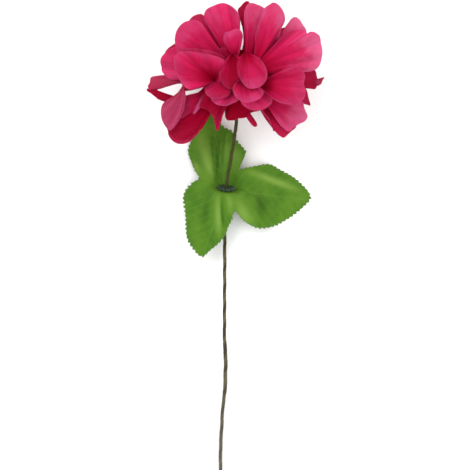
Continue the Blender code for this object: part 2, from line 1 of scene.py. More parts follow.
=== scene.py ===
"""Silk chrysanthemum on a taped wire stem, lying on a pale table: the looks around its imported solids.

Tables and profiles are in millimetres, from the point on the table under the bloom's hub or from the centre
that their comment names. Properties are in metres, as everything in the scene is.
"""
from dataclasses import dataclass
from functools import partial

import bmesh
import bpy
import numpy as np
from bpy.props import FloatProperty, FloatVectorProperty, IntProperty, PointerProperty
from mathutils import Matrix, Vector


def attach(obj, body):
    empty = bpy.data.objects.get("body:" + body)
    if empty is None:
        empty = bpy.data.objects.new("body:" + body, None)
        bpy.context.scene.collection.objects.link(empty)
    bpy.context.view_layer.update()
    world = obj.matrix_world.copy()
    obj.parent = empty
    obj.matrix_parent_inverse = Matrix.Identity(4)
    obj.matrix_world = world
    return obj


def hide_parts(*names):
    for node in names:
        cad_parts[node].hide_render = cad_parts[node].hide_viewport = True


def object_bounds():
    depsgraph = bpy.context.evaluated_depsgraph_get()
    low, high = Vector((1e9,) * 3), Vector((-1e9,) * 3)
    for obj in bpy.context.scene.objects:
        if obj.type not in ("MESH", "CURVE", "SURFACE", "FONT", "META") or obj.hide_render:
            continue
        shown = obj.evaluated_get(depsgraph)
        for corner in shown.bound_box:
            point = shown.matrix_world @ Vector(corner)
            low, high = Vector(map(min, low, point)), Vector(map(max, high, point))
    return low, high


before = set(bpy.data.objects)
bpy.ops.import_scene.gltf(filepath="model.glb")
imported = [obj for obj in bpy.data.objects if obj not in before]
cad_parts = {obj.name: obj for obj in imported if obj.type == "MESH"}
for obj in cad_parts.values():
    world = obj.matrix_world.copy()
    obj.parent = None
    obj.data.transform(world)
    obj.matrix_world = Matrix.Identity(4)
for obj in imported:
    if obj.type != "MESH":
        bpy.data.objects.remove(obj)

CAD_BOX = [list(corner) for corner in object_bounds()]

bl_info = {
    "name": "Silk chrysanthemum",
    "version": (1, 0, 0),
    "blender": (4, 5, 0),
    "location": "3D View > Sidebar > Flower",
    "description": "Makes a fabric chrysanthemum with its leaf and taped wire stem, lying down",
    "category": "Add Mesh",
}

MM = 0.001
UP = np.array([0.0, 0.0, 1.0])
TABLE_TO_BOX_MIDDLE = np.array([-2.27, -93.18, 0.0])   # from the point under the hub to the origin
CAMERA_HEIGHT = 2000.0
BELOW_CAMERA = np.array([-3.0, -89.4])    # the point on the table below the camera
LYING_GAP = 0.02               # cloth that comes this near to the table lies on it
PRESS_DEPTH = 2.0              # how softly a petal or leaf flattens on the table

# Bloom
HUB_HEIGHT = 48.0
AXIS_RISE = 50.0               # degrees, the bloom faces up and away from its stem
AXIS_LEAN = 11.0               # degrees, and a little to the right

# Leaf and its collar
COLLAR_CENTRE = np.array([-8.6, -62.0, 13.0])
COLLAR_RISE = 20.0             # degrees, the stem's slope there
COLLAR_LEAN = 6.0              # degrees, and its turn to the right


def unit(v):
    return v / np.linalg.norm(v)


def direction(rise, lean):
    """Unit vector that climbs rise degrees from the table, lean degrees to the right of +Y."""
    up, side = np.radians(rise), np.radians(lean)
    return np.array([np.cos(up) * np.sin(side), np.cos(up) * np.cos(side), np.sin(up)])


def smooth_step(x):
    x = np.clip(x, 0, 1)
    return x * x * (3 - 2 * x)


def ripples(place, waves, phases):
    """Sum of sine waves at a place, each given as (height, rate)."""
    return sum(height * np.sin(rate * place + phase) for (height, rate), phase in zip(waves, phases))


def spans(points):
    """Distances between the neighbouring points of a line."""
    return np.linalg.norm(np.diff(points, axis=0), axis=1)


def to_world(points):
    return (np.asarray(points) - TABLE_TO_BOX_MIDDLE) * MM


AXIS = direction(AXIS_RISE, AXIS_LEAN)
HUB = np.array([0.0, 0.0, HUB_HEIGHT])
COLLAR_AXIS = direction(COLLAR_RISE, COLLAR_LEAN)


# Sizes and colours

def length_property(name, description, default, least, most):
    """A size in metres that a user can change."""
    return FloatProperty(
        name=name, description=description, default=default, min=least, max=most, unit="LENGTH")


class BloomSettings(bpy.types.PropertyGroup):
    cloth: length_property(
        "Cloth thickness", "Stiffened petal cloth, from face to face", 0.00035, 0.0001, 0.001)
    pleat: length_property("Pleat spacing", "Distance between the fine pressed pleats", 0.0014, 0.0005, 0.005)
    ruffle: length_property("Ruffle", "How far the rims wave in and out", 0.0008, 0.0, 0.003)
    # The root colour is deeper dye that also paints the shade where the layers meet
    root_colour: FloatVectorProperty(
        name="Root", description="Petal colour where the layers meet, in linear light",
        default=(0.5, 0.0008, 0.03), size=3, subtype="COLOR", min=0, max=1)
    body_colour: FloatVectorProperty(
        name="Body", description="Petal colour half way, in linear light",
        default=(0.62, 0.014, 0.095), size=3, subtype="COLOR", min=0, max=1)


class LeafSettings(bpy.types.PropertyGroup):
    cloth: length_property(
        "Cloth thickness", "Stiffened leaf cloth, from face to face", 0.0004, 0.0001, 0.001)
    tooth_pitch: length_property("Tooth pitch", "Distance between the teeth of the edge", 0.0027, 0.001, 0.01)
    tooth_depth: length_property("Tooth depth", "Depth of the teeth of the edge", 0.0012, 0.0, 0.003)
    vein_depth: length_property("Vein depth", "Depth of the pressed veins", 0.00018, 0.0, 0.001)


class StemSettings(bpy.types.PropertyGroup):
    tape_radius: length_property("Tape radius", "Outer radius of the wound tape", 0.00097, 0.0008, 0.002)
    tape_step: length_property(
        "Tape step", "Height of the step where one turn laps the last", 0.00014, 0.0, 0.0005)
    winding: length_property(
        "Winding pitch", "Length of stem that one turn of the tape covers", 0.0125, 0.002, 0.05)
    wire_radius: length_property("Wire radius", "Radius of the steel wire", 0.0005, 0.0002, 0.001)


class CollarSettings(bpy.types.PropertyGroup):
    teeth: IntProperty(
        name="Teeth", description="Number of teeth round the leaf's collar", default=14, min=6, max=30)
    flange_radius: length_property(
        "Flange radius", "From the stem to the valleys between the teeth", 0.0045, 0.003, 0.008)
    tooth_length: length_property(
        "Tooth length", "How far each tooth stands out from the flange", 0.0016, 0.0003, 0.003)


class StageSettings(bpy.types.PropertyGroup):
    floor_width: length_property("Floor width", "Width of the table top", 6.0, 1.0, 20.0)
    camera_height: length_property(
        "Camera height", "Height of the camera above the table", CAMERA_HEIGHT * MM, 0.5, 10.0)
    lens: FloatProperty(
        name="Lens", description="Focal length of the camera in millimetres",
        default=249.2, min=20, max=500, subtype="DISTANCE_CAMERA")
    key_power: FloatProperty(
        name="Key light", description="Power of the main soft box, in watts", default=11.0, min=0, max=100)
    fill_power: FloatProperty(
        name="Fill light", description="Power of the second soft box, in watts", default=6.0, min=0, max=100)


# Materials. Noise on Object coordinates has its scale as waves in a millimetre, over MM.

SMOOTH = {"interpolation_type": "SMOOTHSTEP"}
ON_COLOURS = {"data_type": "RGBA"}
FACTOR, UNDER, OVER = 0, 6, 7  # inputs of a Mix node on colours
DYE_STRENGTH = 0.71            # share of the petals' colours that is left, for how they look in this light


def srgb(code):
    """Linear colour of an sRGB hex code."""
    values = np.array([int(code[i:i + 2], 16) for i in (1, 3, 5)]) / 255
    linear = np.where(values <= 0.04045, values / 12.92, ((values + 0.055) / 1.055) ** 2.4)
    return (*linear.tolist(), 1.0)


def join(node, links):
    """Sets a node's inputs, in order or by name or number: a socket, a node for its output, or a value."""
    for key, value in links.items() if isinstance(links, dict) else enumerate(links):
        if isinstance(value, bpy.types.Node):
            value = next(socket for socket in value.outputs if socket.enabled)
        if isinstance(value, bpy.types.NodeSocket):
            node.id_data.links.new(value, node.inputs[key])
        else:
            node.inputs[key].default_value = value


def add_node(tree, kind, links=None, **settings):
    """Adds a node with its settings and links."""
    node = tree.nodes.new(kind)
    for name, value in settings.items():
        setattr(node, name, value)
    join(node, links or {})
    return node


def new_material(name, **shader_values):
    """A material, its Principled shader with plain values given by socket name, and what adds its nodes."""
    made = bpy.data.materials.new(name)
    made.use_nodes = True
    shader = made.node_tree.nodes["Principled BSDF"]
    join(shader, {key.replace("_", " "): value for key, value in shader_values.items()})
    return made, shader, partial(add_node, made.node_tree)


def petal_cloth(settings):
    """Polyester taffeta, dyed crimson to pink, stiffened, then pressed in a hot mould into fine pleats. Its
    deeper crimson also paints shade, and some pale ends a sheen highlight. The weave gives a dull silky
    sheen, light comes through the thin cloth, and the cut edge is greyer."""
    made, shader, add = new_material(
        "pressed polyester petal taffeta", Roughness=0.6, IOR=1.5, Specular_IOR_Level=0.006,
        Subsurface_Weight=0.45, Subsurface_Radius=(1.0, 0.06, 0.15), Subsurface_Scale=0.002,
        Sheen_Weight=0.005, Sheen_Roughness=0.4, Sheen_Tint=srgb("#FF9CC4"))
    cloth = add("ShaderNodeAttribute", attribute_name="cloth").outputs["Vector"]
    reach, rim, underside, tone_and_painted_light = (
        add("ShaderNodeAttribute", attribute_name=name).outputs["Fac"]
        for name in ("reach", "rim", "underside", "tone_and_painted_light"))

    # Noise on the flat cloth, its waves in millimetres across and along. Pleats and streaks run from root to
    # tip. Threads are about 0.25 mm apart, too fine to show, so they are drawn at 0.5 mm.
    noises = []
    for across, along, detail, roughness in ((settings.pleat / MM, 45.0, 1.5, 0.5), (5.0, 38.0, 2.0, 0.55),
                                             (13.0, 16.0, 2.5, 0.6), (0.5, 0.5, 1.0, 0.5)):
        place = add("ShaderNodeVectorMath", (cloth, (1 / across, 1 / along, 1.0)), operation="MULTIPLY")
        noises.append(add("ShaderNodeTexNoise", {
            "Vector": place, "Scale": 1.0, "Detail": detail, "Roughness": roughness}))
    pleats, streaks, patches, threads = noises

    # Dye deep at the root, where it also paints the shade in which the layers meet, pink in the body, paler
    # in patches towards the tip, and streaked light and dark along the pleats, partly a painted shade of the
    # pleats
    rooted = add("ShaderNodeMapRange", {
        "Value": reach, "From Min": 0.12, "From Max": 0.62, "To Min": 0.12}, **SMOOTH)
    uneven = add("ShaderNodeMath", (patches, 0.75, reach), operation="MULTIPLY_ADD")
    faded = add("ShaderNodeMapRange", {
        "Value": uneven, "From Min": 1.0, "From Max": 1.5, "To Max": 0.5}, **SMOOTH)
    colour = (*settings.root_colour, 1)
    for share, dye_and_painted_light in ((rooted, (*settings.body_colour, 1)), (faded, srgb("#E65A94"))):
        colour = add("ShaderNodeMix", {FACTOR: share, UNDER: colour, OVER: dye_and_painted_light}, **ON_COLOURS)
    # Light and dark streaks along the pleats: partly uneven dye, partly painted shade of the pleats
    streak = add("ShaderNodeMath", (pleats, 0.45, streaks), operation="MULTIPLY_ADD")
    shaded = add("ShaderNodeMapRange", {
        "Value": streak, "From Min": 0.5, "From Max": 1.0, "To Min": 0.68, "To Max": 1.17})
    colour = add("ShaderNodeVectorMath", {0: colour, "Scale": shaded}, operation="SCALE")

    # The underside took less dye and has mauve streaks
    mauve = add("ShaderNodeMix", {
        FACTOR: streaks, UNDER: srgb("#9C2450"), OVER: srgb("#C86890")}, **ON_COLOURS)
    back = add("ShaderNodeMath", (underside, 0.75), operation="MULTIPLY")

    # Some petals are deeper crimson all over, partly their dye and partly painted shade where they lie low or
    # hidden, and some have a pale end, partly paler dye and partly a painted sheen highlight
    deep_dye_and_shade = add("ShaderNodeMapRange", {"Value": tone_and_painted_light, "To Max": 0.95})
    # Pale ends where the shade is below zero: partly paler dye, partly a painted sheen highlight
    pale = add("ShaderNodeMapRange", {"Value": tone_and_painted_light, "From Max": -1.0, "To Max": 0.6})
    outer = add("ShaderNodeMapRange", {"Value": uneven, "From Min": 0.9, "From Max": 1.4}, **SMOOTH)
    pale_end_and_sheen = add("ShaderNodeMath", (pale, outer), operation="MULTIPLY")

    # Cut edge, a thread wide, and fainter on the dark ones
    edge = add("ShaderNodeMapRange", {
        "Value": rim, "From Min": 0.15, "From Max": 0.55, "To Min": 0.5, "To Max": 0.0})
    plain = add("ShaderNodeMapRange", {"Value": deep_dye_and_shade, "To Min": 1.0, "To Max": 0.15})
    cut = add("ShaderNodeMath", (edge, plain), operation="MULTIPLY")
    # The deep crimson is partly dye and partly painted shade, the pale end partly paler dye and partly a
    # painted sheen highlight
    for share, dye_and_painted_light in ((back, mauve), (deep_dye_and_shade, srgb("#92001E")), (pale_end_and_sheen, srgb("#E47AA6")),
                       (cut, srgb("#B8587F"))):
        colour = add("ShaderNodeMix", {FACTOR: share, UNDER: colour, OVER: dye_and_painted_light}, **ON_COLOURS)
    colour = add("ShaderNodeVectorMath", {0: colour, "Scale": DYE_STRENGTH}, operation="SCALE")

    # Relief of the pleats and the threads
    woven = add("ShaderNodeMath", (threads, 0.12, pleats), operation="MULTIPLY_ADD")
    bump = add("ShaderNodeBump", {"Height": woven, "Distance": 0.00045, "Strength": 0.6})
    rough = add("ShaderNodeMapRange", {
        "Value": streaks, "From Min": 0.3, "From Max": 0.7, "To Min": 0.52, "To Max": 0.68})
    join(shader, {"Base Color": colour, "Normal": bump, "Roughness": rough})
    return made


def leaf_cloth():
    """Polyester satin, printed in two greens and embossed with veins. Ridges get a painted highlight and
    grooves a painted shade, and the cut edge is grey-green."""
    made, shader, add = new_material(
        "embossed polyester leaf satin", Roughness=0.55, IOR=1.5, Specular_IOR_Level=0.08,
        Subsurface_Weight=0.15, Subsurface_Radius=(0.5, 1.0, 0.1), Subsurface_Scale=0.001,
        Sheen_Weight=0.015, Sheen_Roughness=0.4, Sheen_Tint=srgb("#E8F7C8"))
    cloth = add("ShaderNodeAttribute", attribute_name="cloth").outputs["Vector"]
    relief, vein, rim = (
        add("ShaderNodeAttribute", attribute_name=name).outputs["Fac"] for name in ("relief", "vein", "rim"))

    # Noise on the flat cloth, its waves in millimetres: patches of the print, and the threads, which are
    # about 0.3 mm apart and drawn at 0.6 mm so that they show
    noises = []
    for wave, detail, roughness in ((14.0, 3.0, 0.55), (0.6, 1.0, 0.5)):
        place = add("ShaderNodeVectorMath", (cloth, (1 / wave, 1 / wave, 1.0)), operation="MULTIPLY")
        noises.append(add("ShaderNodeTexNoise", {
            "Vector": place, "Scale": 1.0, "Detail": detail, "Roughness": roughness}))
    broad, threads = noises
    printed = add("ShaderNodeMapRange", {"Value": broad, "From Min": 0.35, "From Max": 0.65})
    # Painted highlight on the raised folds and painted shade in the grooves
    raised = add("ShaderNodeMapRange", {"Value": relief, "To Max": 0.75})
    sunk = add("ShaderNodeMapRange", {"Value": relief, "From Max": -1.0, "To Max": 0.8})
    veined = add("ShaderNodeMath", (vein, 0.3), operation="MULTIPLY")
    edge = add("ShaderNodeMapRange", {
        "Value": rim, "From Min": 0.2, "From Max": 0.7, "To Min": 0.65, "To Max": 0.0})
    colour = srgb("#3E6916")
    for share, code in ((printed, "#537A1F"), (raised, "#78983F"), (sunk, "#2B500C"), (veined, "#69883A"),
                        (edge, "#66755A")):
        colour = add("ShaderNodeMix", {FACTOR: share, UNDER: colour, OVER: srgb(code)}, **ON_COLOURS)
    bump = add("ShaderNodeBump", {"Height": threads, "Distance": 0.00008, "Strength": 0.6})
    join(shader, {"Base Color": colour, "Normal": bump})
    return made


def floral_tape():
    """Waxed crepe paper tape, stretched and wound in a long spiral. It is darker where it is doubled, worn
    grey near the cut end and a fresher green near the bloom, and fine creases cover it."""
    made, shader, add = new_material(
        "wound waxed crepe tape", Roughness=0.7, IOR=1.45, Specular_IOR_Level=0.25)
    lap = add("ShaderNodeAttribute", attribute_name="lap").outputs["Fac"]
    place = add("ShaderNodeTexCoord").outputs["Object"]
    along = add("ShaderNodeSeparateXYZ", {"Vector": place}).outputs["Y"]
    doubled = add("ShaderNodeMapRange", {"Value": lap, "From Min": 0.25, "From Max": 0.75}, **SMOOTH)
    worn = add("ShaderNodeMapRange", {
        "Value": along, "From Min": -0.05, "From Max": -0.14, "To Max": 0.6}, **SMOOTH)
    fresh = add("ShaderNodeMapRange", {
        "Value": along, "From Min": -0.03, "From Max": 0.045, "To Max": 0.9}, **SMOOTH)
    colour = srgb("#524C35")
    for share, code in ((doubled, "#352E1F"), (worn, "#57554B"), (fresh, "#34360A")):
        colour = add("ShaderNodeMix", {FACTOR: share, UNDER: colour, OVER: srgb(code)}, **ON_COLOURS)
    mottle = add("ShaderNodeTexNoise", {"Vector": place, "Scale": 0.7 / MM, "Detail": 3.0})
    patch = add("ShaderNodeMapRange", {
        "Value": mottle, "From Min": 0.3, "From Max": 0.7, "To Min": 0.78, "To Max": 1.2})
    colour = add("ShaderNodeVectorMath", {0: colour, "Scale": patch}, operation="SCALE")
    crepe = add("ShaderNodeTexNoise", {"Vector": place, "Scale": 2.5 / MM, "Detail": 2.0})
    bump = add("ShaderNodeBump", {"Height": crepe, "Distance": 0.00012, "Strength": 0.7})
    join(shader, {"Base Color": colour, "Normal": bump})
    return made


def moulded_plastic(name, light, dark):
    """Injection-moulded polyethylene: waxy and a little cloudy, with faint flow marks in its colour."""
    made, shader, add = new_material(
        name, Roughness=0.42, IOR=1.51, Subsurface_Weight=0.1, Subsurface_Radius=(0.5, 0.5, 0.5),
        Subsurface_Scale=0.001)
    place = add("ShaderNodeTexCoord").outputs["Object"]
    flow = add("ShaderNodeTexNoise", {
        "Vector": place, "Scale": 0.42 / MM, "Detail": 2.0, "Distortion": 0.8})
    colour = add("ShaderNodeMix", {FACTOR: flow, UNDER: srgb(dark), OVER: srgb(light)}, **ON_COLOURS)
    grain = add("ShaderNodeTexNoise", {"Vector": place, "Scale": 3 / MM})
    bump = add("ShaderNodeBump", {"Height": grain, "Distance": 0.00003, "Strength": 0.5})
    rough = add("ShaderNodeMapRange", {"Value": flow, "To Min": 0.36, "To Max": 0.5})
    join(shader, {"Base Color": colour, "Normal": bump, "Roughness": rough})
    return made


def drawn_wire():
    """Cold-drawn steel wire: grey and half bright, with drawn lines along it."""
    made, shader, add = new_material("cold-drawn steel wire", Metallic=1.0, Roughness=0.38)
    place = add("ShaderNodeTexCoord").outputs["Object"]
    drawn = add("ShaderNodeMapping", {"Vector": place, "Scale": (9 / MM, 0.25 / MM, 9 / MM)})
    lines = add("ShaderNodeTexNoise", {"Vector": drawn, "Scale": 1.0})
    colour = add("ShaderNodeMix", {
        FACTOR: lines, UNDER: srgb("#7F7F7C"), OVER: srgb("#B9B9B4")}, **ON_COLOURS)
    bump = add("ShaderNodeBump", {"Height": lines, "Distance": 0.00002, "Strength": 0.6})
    join(shader, {"Base Color": colour, "Normal": bump})
    return made


def table_laminate():
    """Matt white laminate, even and pale."""
    made, shader, add = new_material("matt white laminate", Roughness=0.85)
    place = add("ShaderNodeTexCoord").outputs["Object"]
    even = add("ShaderNodeTexNoise", {"Vector": place, "Scale": 3.0})
    colour = add("ShaderNodeMix", {
        FACTOR: even, UNDER: srgb("#F9F9F8"), OVER: srgb("#FCFCFB")}, **ON_COLOURS)
    join(shader, {"Base Color": colour})
    return made


# Making meshes

def place_object(name, data):
    """Links an object to the scene that shows a mesh, curve, light or camera."""
    made = bpy.data.objects.new(name, data)
    bpy.context.scene.collection.objects.link(made)
    return made


def plain_piece(carrier, name):
    """Turns what an object evaluates to into a plain mesh in an object of its own."""
    bpy.context.view_layer.update()
    evaluated = carrier.evaluated_get(bpy.context.evaluated_depsgraph_get())
    mesh = bpy.data.meshes.new_from_object(evaluated)
    mesh.name = name
    bpy.data.objects.remove(carrier)
    return place_object(name, mesh)


def make_piece(name, points, faces, material, attributes=None, sharp=60):
    """A piece at the origin from points in millimetres. Attributes are one number or vector a point, and an
    edge is sharp from the given degrees."""
    mesh = bpy.data.meshes.new(name)
    mesh.from_pydata(to_world(points).tolist(), [], faces)
    mesh.shade_smooth()
    mesh.set_sharp_from_angle(angle=np.radians(sharp))
    for key, values in (attributes or {}).items():
        values = np.asarray(values, float)
        kind, field = ("FLOAT_VECTOR", "vector") if values.ndim == 2 else ("FLOAT", "value")
        mesh.attributes.new(key, kind, "POINT").data.foreach_set(field, values.ravel())
    mesh.materials.append(material)
    return place_object(name, mesh)


def finish_piece(piece, node):
    """Rides on the one body and stands for its solid, which it hides."""
    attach(piece, "root")
    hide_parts(node)


def sheet_normals(grid, closed_across=False):
    """Unit normals of a grid of points, along crossed with across."""
    along = np.gradient(grid, axis=0)
    if closed_across:
        across = (np.roll(grid, -1, axis=1) - np.roll(grid, 1, axis=1)) / 2
    else:
        across = np.gradient(grid, axis=1)
    normals = np.cross(along, across)
    return normals / np.maximum(np.linalg.norm(normals, axis=-1, keepdims=True), 1e-9)


def thick_sheet(grid, thickness, closed_across=False):
    """Points and faces of a sheet with the given middle surface. The first half of the points lies on its
    +normal side, the second half on the other."""
    rows, columns = grid.shape[:2]
    normals = sheet_normals(grid, closed_across)
    lying = grid[..., 2] < thickness / 2 + LYING_GAP
    grid = grid.copy()
    grid[lying, 2] = thickness / 2
    normals[lying] = np.where(normals[lying, 2:] < 0, -UP, UP)
    points = np.concatenate([grid + normals * thickness / 2, grid - normals * thickness / 2]).reshape(-1, 3)
    count = rows * columns
    index = np.arange(count).reshape(rows, columns)
    beyond = np.roll(index, -1, axis=1) if closed_across else index[:, 1:]
    here = index if closed_across else index[:, :-1]
    top = np.stack([here[:-1], here[1:], beyond[1:], beyond[:-1]], axis=-1).reshape(-1, 4)
    faces = [top, top[:, ::-1] + count]
    if closed_across:
        rims = [np.append(index[0], index[0, 0]), np.append(index[-1], index[-1, 0])[::-1]]
    else:
        rims = [np.concatenate([index[0], index[1:, -1], index[-1, -2::-1], index[-2::-1, 0]])]
    for rim in rims:
        faces.append(np.stack([rim[:-1], rim[1:], rim[1:] + count, rim[:-1] + count], axis=1))
    return points, np.concatenate(faces)


def rest_on_table(points, thickness):
    """Bends what would pass through the table into a flat spot that lies on it."""
    low = points[..., 2] - thickness / 2
    eased = (low + PRESS_DEPTH) ** 2 / (4 * PRESS_DEPTH)
    pressed = np.where(low < -PRESS_DEPTH, 0, np.where(low < PRESS_DEPTH, eased, low))
    points[..., 2] = thickness / 2 + pressed
    return points


def turned(centre, axis, profile, sides=48, closed=False):
    """Points and faces of a turned solid. The profile holds (along the axis, radius), radius 0 at a pole."""
    first = unit(np.cross(axis, np.array([1.0, 0.0, 0.0])))
    second = np.cross(axis, first)
    turn = 2 * np.pi * np.arange(sides) / sides
    circle = np.outer(np.cos(turn), first) + np.outer(np.sin(turn), second)
    points, rings = [], []
    for along, radius in profile:
        ring = centre + axis * along + radius * circle[:sides if radius else 1]
        rings.append(range(len(points), len(points) + len(ring)))
        points.extend(ring)
    faces = []
    for one, two in zip(rings, rings[1:] + rings[:1] if closed else rings[1:]):
        for k in range(sides):
            n = (k + 1) % sides
            corners = one[k % len(one)], two[k % len(two)], two[n % len(two)], one[n % len(one)]
            faces.append(tuple(dict.fromkeys(corners)))        # three corners at a pole
    points = np.array(points)
    volume = sum(np.dot(points[f[0]], np.cross(points[f[k]], points[f[k + 1]])) for f in faces
                 for k in range(1, len(f) - 1))
    return points, faces if volume > 0 else [tuple(reversed(f)) for f in faces]


def blend(t, start, end, one, two):
    return (end - t) / (end - start) * one + (t - start) / (end - start) * two


def smooth_line(points, step, samples=24):
    """Points every step along a centripetal curve through the given ones, ends included."""
    ends = np.vstack([2 * points[0] - points[1], points, 2 * points[-1] - points[-2]])
    knots = np.concatenate([[0], np.cumsum(np.sqrt(spans(ends)))])
    fine = []
    for i in range(1, len(ends) - 2):
        t0, t1, t2, t3 = knots[i - 1:i + 3]
        p0, p1, p2, p3 = ends[i - 1:i + 3]
        for t in np.linspace(t1, t2, samples, endpoint=False):
            middle = blend(t, t1, t2, p1, p2)
            before = blend(t, t0, t2, blend(t, t0, t1, p0, p1), middle)
            after = blend(t, t1, t3, middle, blend(t, t2, t3, p2, p3))
            fine.append(blend(t, t1, t2, before, after))
    fine = np.array(fine + [points[-1]])
    run = np.concatenate([[0], np.cumsum(spans(fine))])
    stops = np.linspace(0, run[-1], max(2, round(run[-1] / step)) + 1)
    return np.stack([np.interp(stops, run, fine[:, k]) for k in range(3)], axis=1)


# Bloom

@dataclass
class Petal:
    """A petal behind the bloom, laid out from its root inside the core to its tip."""
    tip: tuple                 # from the hub
    width: float
    axial: float               # 1 leaves the core along the axis, 0 straight out from it
    cup: tuple                 # how far its two sides are rolled up, degrees at the root and the tip
    arch: float = 0.5          # how far it runs out before it bends to its tip
    underside: bool = False    # as for a fan, below
    # as for a fan: deeper crimson that also paints shade
    shade: float = 0.2


@dataclass
class Fan:
    """A petal laid out as it looks from straight above: its pleats fan out from a root to its rim."""
    root: tuple                # x, y and height from the hub
    rim: list                  # x and y from the hub, from one side round its end to the other
    heights: tuple             # of the rim from the hub: first point, end, last point
    arch: float = 5.0          # how far its middle stands above the straight line from root to rim
    cup: float = 0.0           # how far its two sides stand above its middle
    droop: float = 2.5         # how far the cloth turns down at the rim
    bow: tuple = (0.0, 0.0)    # sideways bend of the pleats
    underside: bool = False    # shows its back
    shade: float | tuple = 0.0     # 1 deepest crimson, dye and painted shade; -1 a pale end, dye and painted sheen: one number, or several along the rim
    fold: float = 1.0          # how deep its lengthwise folds are
    valley: tuple = (0.5, 0.0)     # where across it a soft valley runs, and how deep that is
